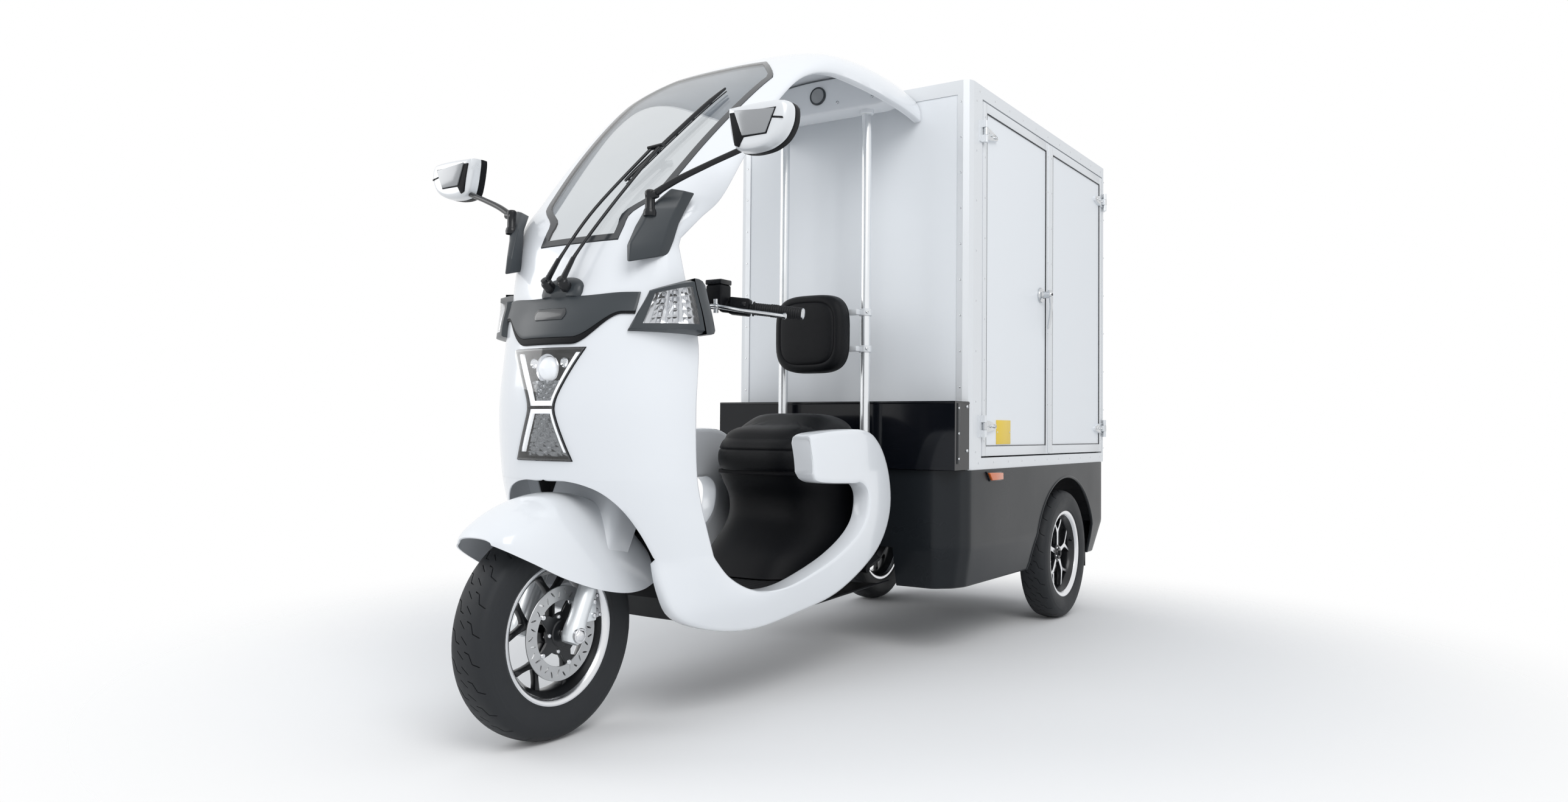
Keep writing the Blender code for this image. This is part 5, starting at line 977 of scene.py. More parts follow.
def rim(name, centre, outward, body):
    """A cast wheel: barrel, bright lips, hub and five split spokes, machined on the rear wheels."""
    form = Form()
    for profile, mark in ((both_ways(BARREL), 0), (both_ways(WELL), 0), (LIP, 1),
                          ([(r, -h) for r, h in LIP], 1)):
        form.lathe(profile, centre, X, mark, 120)
    high = 0.018 * outward
    spoke = [(r, -a) for r, a in SPOKE_OUTER + SPOKE_INNER]
    spoke += [(r, a) for r, a in SPOKE_INNER[-2::-1] + SPOKE_OUTER[::-1]]
    for fifth in FIFTHS:
        form.prism([around(r, pi / 2 + fifth + a) for r, a in spoke], 0.001 * outward, high, bevel=0.0028,
                   turn=Matrix.Translation(centre))
    form.lathe(both_ways(HUB), centre, closed=True)
    for fifth in FIFTHS:
        form.bolt(in_wheel(centre, outward * 0.0195, 0.0265, pi * 0.7 + fifth), X * outward, 0.0042, 1)
    valve = [in_wheel(centre, out * outward, r, 0.3)
             for out, r in ((0.01, 0.145), (0.024, 0.135), (0.034, 0.132))]
    form.tube(valve, [0.004, 0.0035, 0.003], 2, sides=12)
    obj = form.make(name, [DARK_ALLOY, MACHINED, SMOOTH_BLACK], body=body, angle=30)
    if body != "front_wheel":
        for poly in obj.data.polygons:
            level = abs(poly.center.x - centre[0] - high) < 0.0006
            if poly.material_index == 0 and abs(poly.normal.x) > 0.9 and level:
                poly.material_index = 1


def brake_disc():
    centre = FRONT_WHEEL + X * 0.047
    place = Matrix.Translation(centre)
    form = Form()
    form.lathe(both_ways([(0.0765, 0.0015), (0.077, 0.002), (0.109, 0.002), (0.11, 0.0012)]), centre,
               steps=120, closed=True)
    disc = form.make("brake_disc_ring", [DISC], body="front_wheel", angle=30)
    slots = Form()
    for i in range(30):
        lean, middle = (0.55, 0.0965) if i % 2 else (-0.35, 0.0905)
        path = []
        for k in range(12):
            b = 2 * pi * k / 12
            u = max(-0.0062, min(0.0062, 0.0075 * cos(b))) + 0.0016 * cos(b)
            p = Matrix.Rotation(lean, 2) @ Vector((u, 0.0021 * sin(b))) + Vector((middle, 0))
            path.append(Matrix.Rotation(2 * pi * i / 30, 2) @ p)
        slots.prism(path, -0.006, 0.006, turn=place)
    carve(disc, slots)
    carrier = Form()
    turns = spaced(0, 2 * pi, 60)[:-1]
    carrier.prism([around(0.05 + 0.03 * max(0, cos(5 * a)) ** 1.5, a) for a in turns], -0.0032, 0.0032,
                  bevel=0.001, turn=place, segments=1)
    carrier.lathe([(0.011, 0.006), (0.03, 0.006), (0.033, 0.004), (0.033, -0.022), (0.011, -0.022)], centre,
                  closed=True)
    for a in FIFTHS:
        carrier.lathe([(0.0001, 0.0024), (0.005, 0.0024), (0.006, 0.0012), (0.006, -0.004)],
                      in_wheel(centre, 0.0034, 0.074, a), X, 1, 20)
        carrier.bolt(in_wheel(centre, 0.0034, 0.042, a + pi / 5), X, 0.0055, 1)
    carrier.make("brake_disc_carrier", [DARK_ALLOY, MACHINED], body="front_wheel", angle=30,
                 stands_for=("brake_disc",))


def wheels():
    tyre("front_tyre", FRONT_WHEEL, "front_wheel")
    rim("front_rim", FRONT_WHEEL, 1, "front_wheel")
    brake_disc()
    for side, name in SIDES:
        centre = (side * HALF_TRACK, REAR_AXLE, TYRE_RADIUS)
        tyre("rear_%s_tyre" % name, centre, "rear_%s_wheel" % name)
        rim("rear_%s_rim" % name, centre, side, "rear_%s_wheel" % name)


# Steering

SLIDER = [(0.0001, -0.02), (0.019, -0.02), (0.0235, -0.012), (0.0255, 0.002), (0.025, 0.02), (0.0225, 0.036),
          (0.0225, 0.15), (0.0235, 0.16), (0.0235, 0.198), (0.0225, 0.204), (0.019, 0.205)]


def axes(x, y, z):
    return Matrix((x, y, z)).transposed().to_4x4()


def fork():
    """Two telescopic legs with dust seals and clamped feet, the crown, the stem and the spindle."""
    form = Form()
    for side in (-1, 1):
        foot = on_steering(0, 0.05, side * 0.084)
        out = X * side
        for profile, direction, mark, steps in (
                (SLIDER, STEER_DIR, 0, 40),
                ([(0.0215, 0.203), (0.0222, 0.206), (0.0222, 0.216), (0.0195, 0.222), (0.018, 0.226)],
                 STEER_DIR, 2, 40),
                ([(0.0178, 0.2), (0.0178, 0.318)], STEER_DIR, 1, 40),
                ([(0.0001, 0.3185), (0.014, 0.3185), (0.0165, 0.3165), (0.0178, 0.313)], STEER_DIR, 0, 32),
                ([(0.0001, 0.03), (0.0095, 0.03), (0.0125, 0.0285), (0.015, 0.0255), (0.015, 0.02)],
                 out, 3, 6),
                ([(0.0165, 0.0262), (0.018, 0.025), (0.0185, 0.018)], out, 3, 32),
                ([(0.0001, 0.0262), (0.0165, 0.0262)], out, 3, 32)):
            form.lathe(profile, foot, direction, mark, steps)
        form.bolt(foot + STEER_DIR * 0.02 - AHEAD_DIR * 0.022 + out * 0.01, out, 0.006, 3)
        if side > 0:
            mount = foot + STEER_DIR * 0.07 - AHEAD_DIR * 0.024
            form.block(mount + Vector((-0.01, -0.016, -0.03)), mount + Vector((0.008, 0.02, 0.03)),
                       bevel=0.004)
            for z in (0.016, -0.016):
                form.bolt(mount + Vector((0.01, 0.008, z)), X, 0.0065, 3)
    form.prism(superellipse(0.106, 0.03, 3.2, 40), 0.288, 0.32, 2, bevel=0.004,
               turn=Matrix.Translation(on_steering(0, 0.022)) @ axes(X, AHEAD_DIR, STEER_DIR))
    form.lathe([(0.0155, 0.3), (0.0155, 0.86)], STEER_FOOT, STEER_DIR, 1, 32)
    form.lathe([(0.029, 0.322), (0.03, 0.33), (0.03, 0.338), (0.016, 0.345)], STEER_FOOT, STEER_DIR, 2, 32)
    form.make("fork", [FORK_SILVER, POLISHED, SMOOTH_BLACK, MACHINED], body="steering")
    spindle = Form()
    spindle.lathe([(0.0001, -0.112), (0.0098, -0.112), (0.0098, 0.112), (0.0001, 0.112)], FRONT_WHEEL, X, 0,
                  24)
    spindle.make("front_spindle", [MACHINED], body="steering", angle=40, weld=0)


def caliper():
    """The two-piston caliper over the disc, with its bridge bolts and the pistons' caps."""
    form = Form()
    place = in_wheel(FRONT_WHEEL, 0.047, 0.104, radians(30))
    turn = Matrix.Translation(place) @ Matrix.Rotation(radians(12), 4, "X")
    outline = [(-0.016, -0.03), (0.014, -0.03), (0.02, -0.022), (0.022, 0), (0.02, 0.022), (0.014, 0.03),
               (-0.016, 0.03), (-0.02, 0.018), (-0.014, 0), (-0.02, -0.018)]
    for low, high in ((-0.02, -0.0055), (0.0055, 0.02)):
        form.prism(outline, low, high, bevel=0.003, turn=turn)
    form.block((-0.012, 0.0145, -0.022), (0.012, 0.0215, 0.022), bevel=0.0025, turn=turn)
    for z in (-0.013, 0.013):
        form.lathe([(0.0001, 0.004), (0.007, 0.004), (0.009, 0.0025), (0.0095, 0), (0.0095, -0.003)],
                   turn @ Vector((0.02, 0, z)), X, 1, 28)
    for z in (-0.024, 0.024):
        form.bolt(turn @ Vector((0.0205, 0.012, z)), X, 0.005, 1)
    form.tube([turn @ Vector((0.016, -0.012, 0.024)), turn @ Vector((0.018, -0.016, 0.034))],
              [0.0035, 0.0028], 1, 10)
    form.make("brake_caliper", [ALLOY, MACHINED], body="steering")


BAR_AT = 0.868
BAR_POINTS = [(0.0, 0.0, 0.0), (0.1, -0.015, 0.035), (0.2, 0.03, 0.032), (0.365, 0.105, 0.012)]
BAR_COVER = [(0.0, -0.035, 0.06, -0.05, 0.045), (0.04, -0.034, 0.058, -0.05, 0.045),
             (0.076, -0.03, 0.052, -0.048, 0.038), (0.086, -0.018, 0.036, -0.036, 0.024)]
LEVER = [(-0.16, -0.004, -0.03), (-0.02, -0.004, -0.046), (0.1, -0.006, -0.058), (0.32, -0.009, -0.056),
         (0.55, -0.01, -0.052), (0.76, -0.011, -0.049), (0.93, -0.012, -0.046)]


def handlebar():
    """The bar with its cover, grips, switches, levers and fluid reservoirs."""
    centre = on_steering(BAR_AT)
    form = Form()
    half = [Vector(p) + centre for p in spline(BAR_POINTS, 8)]
    form.tube([other_side(p) for p in half[:0:-1]] + half, 0.011, 0, 20)
    form.grid([[centre + Vector((x, (front + rear) / 2 + a, (low + high) / 2 + b))
                for a, b in superellipse((rear - front) / 2, (high - low) / 2, 4, 32)]
               for x, low, high, front, rear in [(-x, *row) for x, *row in BAR_COVER[:0:-1]] + BAR_COVER],
              1, across=True, caps=True)
    form.block(centre + Vector((-0.052, 0.03, 0.022)), centre + Vector((0.052, 0.047, 0.052)), 2,
               bevel=0.004)
    inner = Vector(BAR_POINTS[2]) + centre
    outer = Vector(BAR_POINTS[3]) + centre
    for side in (-1, 1):
        def at(t, up=0, back=0):
            p = inner.lerp(outer, t) + Vector((0, back, up))
            return Vector((p.x * side, p.y, p.z))
        places = spaced(0.33, 1.045, 66)
        radii = [0.0163 - (0 if i % 3 else 0.0007) + (0.001 if 0.6 < t < 0.7 else 0)
                 for i, t in enumerate(places)]
        radii[:3] = [0.015, 0.0195, 0.0195]
        form.tube([at(t) for t in places], radii, 3, 26)
        form.tube([at(1.04), at(1.062), at(1.078), at(1.084)], [0.015, 0.015, 0.012, 0.006], 4, 24)
        along = (at(1) - at(0)).normalized()
        third = along.cross(Z).normalized()
        turn = Matrix.Translation(at(0.02)) @ axes(along, third, third.cross(along))
        button = (-0.03, -0.018) if side > 0 else (0.014, 0.028)
        for low, high, mark, bevel, segments in (
                ((-0.004, -0.024, -0.02), (0.05, 0.022, 0.024), 1, 0.005, 3),
                ((0.008, button[0], -0.008), (0.022, button[1], 0.004), 1, 0.002, 2),
                ((0.028, 0.019, 0.002), (0.042, 0.0245, 0.014), 2, 0.0015, 2),
                ((0.01, 0.019, -0.014), (0.024, 0.0245, -0.004), 1, 0.0015, 2)):
            form.block(low, high, mark, bevel, turn, segments)
        form.tube([at(-0.14), at(-0.1), at(-0.02)], [0.015, 0.0175, 0.0175], 1, 24)
        pot = at(-0.16)
        form.block(pot + Vector((-0.025, -0.027, -0.003)), pot + Vector((0.025, 0.019, 0.052)), 1, 0.005,
                   segments=3)
        form.block(pot + Vector((-0.026, -0.028, 0.052)), pot + Vector((0.026, 0.02, 0.0655)), 2, 0.003)
        for x, y in ((-0.018, -0.02), (0.018, 0.012)):
            form.bolt(pot + Vector((x, y, 0.064)), Z, 0.003, 4)
        path = spline([tuple(at(*place)) for place in LEVER], 6)
        form.tube(path, [0.0085 - 0.0015 * min(1, max(0, i - 8) / 10) for i in range(len(path))], 4, 18,
                  flat=0.72)
        form.tube([at(0.915, -0.012, -0.046), at(0.95, -0.012, -0.0455), at(0.965, -0.012, -0.045)],
                  [0.0075, 0.009, 0.005], 4, 18)
        form.tube([at(-0.1, 0.014, -0.032), at(-0.1, -0.022, -0.032)], 0.0065, 4)
    form.make("handlebar", [FRAME_BLACK, BLACK, SMOOTH_BLACK, SOFT_RUBBER, CHROME],
              body="steering")


# Mirrors and wiper

BRACKET = [[(0.2, 0.096, 1.124), (0.194, 0.046, 1.112), (0.206, 0.04, 1.11), (0.246, 0.098, 1.126),
            (0.25, 0.128, 1.134)],
           [(0.206, 0.098, 1.16), (0.19, 0.048, 1.15), (0.206, 0.046, 1.156), (0.257, 0.104, 1.164),
            (0.262, 0.134, 1.166)],
           [(0.218, 0.112, 1.202), (0.198, 0.066, 1.196), (0.222, 0.068, 1.202), (0.266, 0.112, 1.206),
            (0.272, 0.14, 1.206)],
           [(0.234, 0.13, 1.238), (0.207, 0.084, 1.232), (0.234, 0.08, 1.24), (0.276, 0.124, 1.242),
            (0.284, 0.15, 1.24)],
           [(0.256, 0.168, 1.284), (0.246, 0.13, 1.286), (0.258, 0.128, 1.292), (0.284, 0.14, 1.284),
            (0.294, 0.172, 1.284)]]
MIRROR_OUTLINE = [(-0.08, 0.049), (0.0, 0.051), (0.062, 0.048), (0.077, 0.04), (0.082, 0.024),
                  (0.078, -0.004), (0.06, -0.032), (0.03, -0.049), (-0.005, -0.055), (-0.036, -0.054),
                  (-0.06, -0.046), (-0.072, -0.015), (-0.08, 0.03), (-0.08, 0.049)]
MIRROR_SHELL = [(0, -0.0312), (0.4, -0.0309), (0.74, -0.03), (0.86, -0.0285), (0.945, -0.024),
                (0.985, -0.016), (1, -0.006), (1, 0.006)]
MIRROR_RIM = [(1, 0.006), (1.008, 0.007), (1.01, 0.014), (1, 0.027), (0.975, 0.0285), (0.955, 0.027)]
MIRROR_GLASS = [(0.955, 0.027), (0.95, 0.0245), (0.5, 0.0245), (0, 0.0245)]
MIRROR_PLATES = [([(-0.07, 0.034), (0.056, 0.03), (0.031, -0.026), (-0.03, -0.026), (-0.044, -0.046),
                   (-0.055, -0.041)],
                  -0.0318, -0.027, 3, 0.001),
                 ([(-0.056, 0.037), (0.053, 0.0275), (0.029, -0.0235), (-0.033, -0.0225)], -0.0352, -0.03, 5,
                  0.0018),
                 ([(0.04, 0.0125), (0.072, 0.0065), (0.073, 0.0025), (0.038, 0.008)], -0.0312, -0.027, 3,
                  0.0006)]


def bracket():
    bm = bmesh.new()
    rows = [[bm.verts.new(p) for p in row] for row in BRACKET]
    for a, b in zip(rows, rows[1:]):
        for j in range(5):
            k = (j + 1) % 5
            bm.faces.new((a[j], a[k], b[k], b[j]))
    bm.faces.new(rows[0][::-1])
    bm.faces.new(rows[-1])
    bmesh.ops.recalc_face_normals(bm, faces=bm.faces)
    round_edges(bm, [e for e in bm.edges if e.calc_face_angle(0) > radians(9)], 0.004, 3, clamp=True)
    return bm


def mirrors():
    """Each mirror: faceted bracket, pivot, arm, rim with its glass, and a silver shell with an insert."""
    middle = Vector((0.505, 0.142, 1.402))
    outline = spline(MIRROR_OUTLINE, 4)[:-1]
    for side, name in SIDES:
        form = Form()
        form.from_bmesh(bracket(), 0, None)
        foot = Vector((0.23, 0.083, 1.216))
        form.lathe([(0.015, 0.004), (0.0158, 0.012), (0.0145, 0.018), (0.0118, 0.022), (0.0115, 0.05),
                    (0.0125, 0.056), (0.012, 0.062), (0.008, 0.0655), (0.0001, 0.066)], foot, Z, 1, 32)
        start = foot + Z * 0.05
        tip = middle + Vector((-0.048, -0.006, -0.042))
        arm = spline([tuple(start), tuple(start.lerp(tip, 0.28) + Z * 0.006),
                      tuple(start.lerp(tip, 0.66) + Z * 0.004),
                      tuple(tip), tuple(tip + Vector((0.018, 0.004, 0.014)))], 7)
        form.tube(arm, [0.0086 - 0.0018 * min(1, i / 14) for i in range(len(arm))], 1, 18)
        form.tube([start + Vector((-0.006, -0.002, -0.001)), start + Vector((0.02, 0.002, 0.004))],
                  [0.0105, 0.009], 1, 20)
        for rings, mark in ((MIRROR_SHELL, 2), (MIRROR_RIM, 3), (MIRROR_GLASS, 4)):
            form.grid([[middle + Vector((0.01 + (a - 0.01) * scale, back, b * scale)) for a, b in outline]
                       for scale, back in rings], mark, across=True)
        for plate, low, high, mark, bevel in MIRROR_PLATES:
            form.prism(plate, low, high, 1, mark, bevel, Matrix.Translation(middle))
        if side < 0:
            form.cross_over()
        form.make("mirror_" + name, [TRIM, SMOOTH_BLACK, SILVER, BLACK, MIRROR, LAMP_INSERT])


BLADE = [(1.75, 0.072), (2.3, 0.096), (3.0, 0.122), (3.7, 0.142), (4.45, 0.16)]


def wiper():
    """Two arms from the pivots on the cowl, the link, and the blade on the screen."""
    form = Form()
    cover = []
    for share in spaced(-1, 1, 24):
        tall = sqrt(max(0, 1 - share * share))
        line = []
        for t, proud in ((0, 0.002), (0.12, 0.01), (0.4, 0.016), (0.75, 0.0155), (0.94, 0.01), (1, 0.001)):
            z = 1.034 + 0.054 * t * (0.25 + 0.75 * tall)
            line.append(skin_at(0.006 + 0.06 * share, z, 0.001 + (proud - 0.001) * min(1, 1.6 * tall)))
        cover.append(line)
    form.grid(cover)
    link = on_screen(2.55, 0.112, 0.03)
    up = Vector((0, -0.78, 0.62)).normalized()
    for x, shift in ((-0.022, -0.01), (0.03, 0.014)):
        pivot = Vector((x, 0.014, 1.064))
        form.lathe([(0.014, -0.008), (0.014, 0.012), (0.0125, 0.016), (0.009, 0.018), (0.0085, 0.024),
                    (0.0001, 0.025)], pivot, up, 1, 24)
        start = pivot + up * 0.013
        end = link + X * shift
        path = spline([tuple(start), tuple(start.lerp(end, 0.16) + Vector((0, -0.01, 0.008))),
                       tuple(start.lerp(end, 0.5) + Vector((shift * 0.6, -0.012, 0.012))), tuple(end)], 8)
        form.tube(path, [0.0095 - 0.0045 * min(1, i / 9) for i in range(len(path))], 1, flat=0.8)
        form.tube([start - X * 0.002, start.lerp(end, 0.14) + Vector((0, -0.01, 0.008))], [0.011, 0.008], 1,
                  12, 0.7)
    form.tube([link - Vector((0.018, 0.002, 0.002)), link + Vector((0.024, 0.004, 0.003))], 0.01, 1, 12,
              0.55)
    form.tube([link, on_screen(2.6, 0.108, 0.012)], [0.0075, 0.0065], 1, 12)
    blade, lower = [[on_screen(s, x, proud) for s, x in spline(BLADE, 8)] for proud in (0.016, 0.007)]
    count = len(blade)
    form.tube(blade, [0.0035 + 0.003 * min(1, min(i, count - 1 - i) / 5) for i in range(count)], 1, 12, 0.9)
    form.tube(lower, 0.003, 2, 8, 0.5)
    for i in range(2, count - 2, 5):
        form.tube([blade[i], lower[i]], 0.0038, 1, 8)
    form.make("wiper", [TRIM, SMOOTH_BLACK, SOFT_RUBBER], angle=40)


# Roof beam, posts and seat

POST_X = 0.159
POST_Y = 1.242
BEAM_LAMP = (0, 1.195, 1.832)


def beam_and_posts():
    """The moulded beam with its round lamp, the polished posts, clamps and arms."""
    form = Form()
    top = spline([(-0.262, 1.8), (-0.225, 1.845), (-0.15, 1.874), (0, 1.884), (0.15, 1.874), (0.225, 1.845),
                  (0.262, 1.8)], 5)
    outline = [(-0.262, 1.782), (-0.215, 1.772), (0.215, 1.772), (0.262, 1.782)] + top[::-1]
    form.prism(outline, 1.195, 1.29, 1, bevel=0.007, segments=4)
    form.lathe([(0.03, -0.002), (0.03, 0.004), (0.028, 0.0065), (0.025, 0.0068), (0.024, 0.004)], BEAM_LAMP,
               -Y, 1, 40)
    form.lathe([(0.0245, 0.005), (0.016, 0.0062), (0.0001, 0.0066)], BEAM_LAMP, -Y, 2, 32)
    for side in (-1, 1):
        form.lathe([(0.0162, -0.001), (0.0215, -0.001), (0.023, 0.001), (0.023, 0.019), (0.023, 0.02)],
                   (side * POST_X, POST_Y, 1.76), Z, 0, 32)
        for x in (0.205, 0.075):
            form.bolt((side * x, 1.1945, 1.8), -Y, 0.0055, 3)
    form.make("roof_beam", [PAINT, TRIM, LAMP_INSERT, CHROME])
    for side, name in SIDES:
        form = Form()
        centre = (side * POST_X, POST_Y, 0)
        form.lathe([(0.0001, 0.3503), (0.016, 0.3503), (0.016, 1.8045), (0.0001, 1.8045)], centre, Z, 0, 40)
        for z in (0.991, 1.11):
            clamp = [(0.016, -0.011), (0.0195, -0.011), (0.0208, -0.0095), (0.0208, 0.0095), (0.0195, 0.011),
                     (0.016, 0.011)]
            form.lathe([(r, z + h) for r, h in clamp], centre, Z, 1, 36)
            form.block((side * 0.105, 1.199, z - 0.0085), (side * 0.15, 1.236, z + 0.0085), 1, bevel=0.0025)
            form.bolt((side * 0.174, 1.226, z), (side * 0.8, -0.6, 0), 0.005, 2)
        form.lathe([(0.016, 0.351), (0.0215, 0.351), (0.0225, 0.354), (0.0225, 0.372), (0.0205, 0.377),
                    (0.016, 0.378)], centre, Z, 3, 36)
        form.make("post_" + name, [POLISHED, EXTRUSION, CHROME, SOFT_RUBBER])


PEDESTAL = [(0.297, 0.735, 1.12, 0.15, 0.214), (0.357, 0.78, 1.18, 0.15, 0.222),
            (0.412, 0.85, 1.2, 0.146, 0.234), (0.462, 0.895, 1.205, 0.146, 0.238),
            (0.517, 0.9, 1.206, 0.15, 0.24), (0.567, 0.87, 1.207, 0.158, 0.24),
            (0.602, 0.85, 1.208, 0.16, 0.238)]
CUSHION = [(0.6025, 0.842, 1.206, 0.158, 0.186), (0.612, 0.832, 1.209, 0.163, 0.19),
           (0.636, 0.826, 1.211, 0.167, 0.193), (0.662, 0.83, 1.212, 0.167, 0.191),
           (0.686, 0.842, 1.211, 0.164, 0.187), (0.7, 0.858, 1.21, 0.16, 0.184)]
CUSHION_TOP = CUSHION[-1][0]
TOP_LAYERS = [(0.985, 0.008), (0.955, 0.0165), (0.91, 0.0245), (0.86, 0.03), (0.8, 0.0345), (0.72, 0.0385),
              (0.62, 0.042), (0.5, 0.044), (0.38, 0.0447), (0.25, 0.045), (0.12, 0.045), (0.02, 0.045)]
BACK_FRONT = 1.128
BACK_REAR = 1.1977
BACK_SECTIONS = [(0.0008, 0.02, 0.02), (0.001, 0.05, 0.05), (0.0018, 0.075, 0.075), (0.0034, 0.092, 0.091),
                 (0.0052, 0.099, 0.098), (0.0092, 0.102, 0.101), (0.007, 0.105, 0.104),
                 (0.0075, 0.112, 0.111), (0.0125, 0.121, 0.118), (0.02, 0.1275, 0.1235),
                 (0.03, 0.1305, 0.1262), (0.0457, 0.1318, 0.1276), (0.0512, 0.132, 0.128),
                 (0.0537, 0.1295, 0.1255), (0.0567, 0.132, 0.128), (0.0637, 0.13, 0.126),
                 (0.0687, 0.124, 0.12), (0.0697, 0.115, 0.111)]


def cabin_section(z, front, rear, half_front, half_rear, power=5, count=72):
    ring = []
    for a, b in superellipse(1, 1, power, count):
        t = (b + 1) / 2
        ring.append(Vector((a * (half_front + (half_rear - half_front) * min(1, t * 1.6)),
                            front + (rear - front) * t, z)))
    return ring


def outwards(p):
    return (p - Vector((0, 1.03, p.z))).normalized()


def near_line(distance, width):
    """1 on a line, falling to 0 at a width from it."""
    return max(0, 1 - abs(distance) / width)


def seat():
    """The pedestal, the padded saddle, whose cover is drawn in along its seams, and the backrest."""
    form = Form()
    rows = [cabin_section(*row) for row in spline(PEDESTAL, 5)]
    form.grid(rows, across=True, caps=True)
    rim_row = [p + outwards(p) * 0.003 for p in rows[-1]]
    form.grid([rows[-1], rim_row, [p - Z * 0.01 for p in rim_row], [p - Z * 0.012 for p in rows[-1]]],
              across=True)
    form.make("seat_base", [BLACK], angle=45)

    pad = Form()
    count = 144
    rows = []
    for row in spline(CUSHION, 6):
        dent = 0.0045 * near_line(row[0] - 0.666, 0.0042)
        pucker = 0.001 * near_line(row[0] - 0.666, 0.02)
        rows.append([p - outwards(p) * (dent + pucker * (0.5 + 0.5 * cos(k * pi / 3)))
                     for k, p in enumerate(cabin_section(*row, 4, count))])
    middle = Vector((0, 1.045, CUSHION_TOP))
    for shrink, rise in TOP_LAYERS:
        ring = []
        for p in cabin_section(*CUSHION[-1], 4, count):
            q = middle + (p - middle) * shrink
            seam = 0.0042 * near_line(q.y - 0.952 - 0.02 * (q.x / 0.16) ** 2, 0.005)
            if 0.86 < q.y < 1.19:
                seam = max(seam, 0.003 * near_line(abs(q.x) - 0.118, 0.0045))
            crown = rise * blend_in(0.95, 1.75, (q.y - 0.955) / 0.09)
            q.z = CUSHION_TOP + crown - seam * min(1, rise / 0.03)
            ring.append(q)
        rows.append(ring)
    pad.grid(rows, across=True, caps=True)
    welt = [p + outwards(p) * 0.0015 for p in cabin_section(0.606, *CUSHION[0][1:], 4, count)]
    pad.tube(welt, 0.0026, 1, 10, closed=True)
    pad.make("seat_cushion", [VINYL, SMOOTH_BLACK], angle=60)

    back = Form()
    back.grid([[Vector((a, BACK_FRONT + y, 1.04 + b)) for a, b in superellipse(half_x, half_z, 3.6, 96)]
               for y, half_x, half_z in BACK_SECTIONS], across=True, caps=True)
    for x in (-0.08, 0.08):
        for z in (0.985, 1.1):
            back.bolt((x, BACK_REAR - 0.001, z), Y, 0.006, 1)
    back.make("backrest", [VINYL, CHROME], angle=60)


FLOOR_PROFILE = [(0.4, 0.3), (0.44, 0.288), (0.52, 0.286), (0.7, 0.288), (0.86, 0.296), (1.0, 0.32),
                 (1.12, 0.356), (1.195, 0.386)]
EDGE_STRIP = [(0.183, 0.0012), (0.1845, 0.0062), (0.19, 0.0074), (0.202, 0.0108), (0.208, 0.0122),
              (0.2095, 0.011), (0.2095, 0.007)]


def floor_height(y):
    return spline_at(FLOOR_PROFILE, y)[1]


def cabin_floor():
    """The black edge strips with their screws, and a ribbed mat on the floor."""
    form = Form()
    ribs = [(-0.15, 0.0004), (-0.149, 0.003)]
    ribs += [(x, 0.0042 if k % 3 else 0.0028) for k, x in enumerate(spaced(-0.149, 0.149, 40))][1:-1]
    ribs += [(0.149, 0.003), (0.15, 0.0004)]
    form.grid([[Vector((x, y, floor_height(y) + h)) for x, h in ribs] for y in spaced(0.545, 0.8, 60)], 1)
    for side in (-1, 1):
        form.grid([[Vector((side * a, y, floor_height(y) + b)) for a, b in EDGE_STRIP]
                   for y in spaced(0.56, 1.12, 40)])
        for y in spaced(0.59, 1.065, 5):
            form.bolt((side * 0.196, y, floor_height(y) + 0.0096), (-side * 0.28, 0, 1), 0.0048, 2)
    form.make("floor_trim", [BLACK, SOFT_RUBBER, CHROME], weld=0)


# Cargo box

BOX_HALF = 0.457
BOX_FRONT = 1.395
BOX_REAR = 2.84
HINGES = (0.744, 1.718)
RIVET = [(0.0001, 0.0013), (0.0022, 0.0012), (0.0034, 0.0006), (0.0038, -0.001)]


def box_details():
    """Rivets of the cargo box and the seal round its door opening."""
    form = Form()
    skin = BOX_HALF - 0.0002
    places = [((skin, y, z), X) for y in (1.4455, 2.8165) for z in spaced(0.66, 1.81, 7)
              if min(abs(z - level) for level in HINGES) > 0.045]
    places += [((skin, y, z), X) for z in (0.6235, 1.8465) for y in spaced(1.47, 2.77, 10)]
    for y, axis, low, high in ((BOX_FRONT + 0.0002, -Y, 0.87, 1.8), (BOX_REAR - 0.0013, Y, 0.66, 1.81)):
        places += [((side * (BOX_HALF - 0.033), y, z), axis) for side in (-1, 1)
                   for z in spaced(low, high, 8)]
    places += [((-skin, y, z), -X) for y in spaced(1.47, 2.77, 11) for z in (0.64, 1.846)]
    for place, axis in places:
        form.lathe(RIVET, place, axis, 1, 12)
    seal = [(1.4915, 0.6395), (2.7955, 0.6395), (2.7955, 1.8275), (1.4915, 1.8275)]
    form.tube([(BOX_HALF - 0.0275, y, z) for y, z in seal], 0.0022, 2, 8, closed=True)
    form.make("box_trim", [EXTRUSION, CHROME, SOFT_RUBBER])


def hinge_strap(form, near, sign, level):
    """A polished strap over the door's own, with three screws."""
    x = BOX_HALF + 0.0066
    half = [(0.01, -0.021), (0.05, -0.018), (0.108, -0.0075)]
    outline = half + [(0.1125, 0)] + [(reach, -rise) for reach, rise in half[::-1]]
    form.prism([(near + sign * reach, level + rise) for reach, rise in outline], x, x + 0.0016, mark=1,
               bevel=0.0007)
    for reach in (0.026, 0.058, 0.092):
        form.bolt((x + 0.0018, near + sign * reach, level), X, 0.0052, 1)
    form.lathe(both_ways([(0.0001, 0.0125), (0.007, 0.0125), (0.0082, 0.0115)]),
               (BOX_HALF + 0.012, near, level), Z, 1, 24)


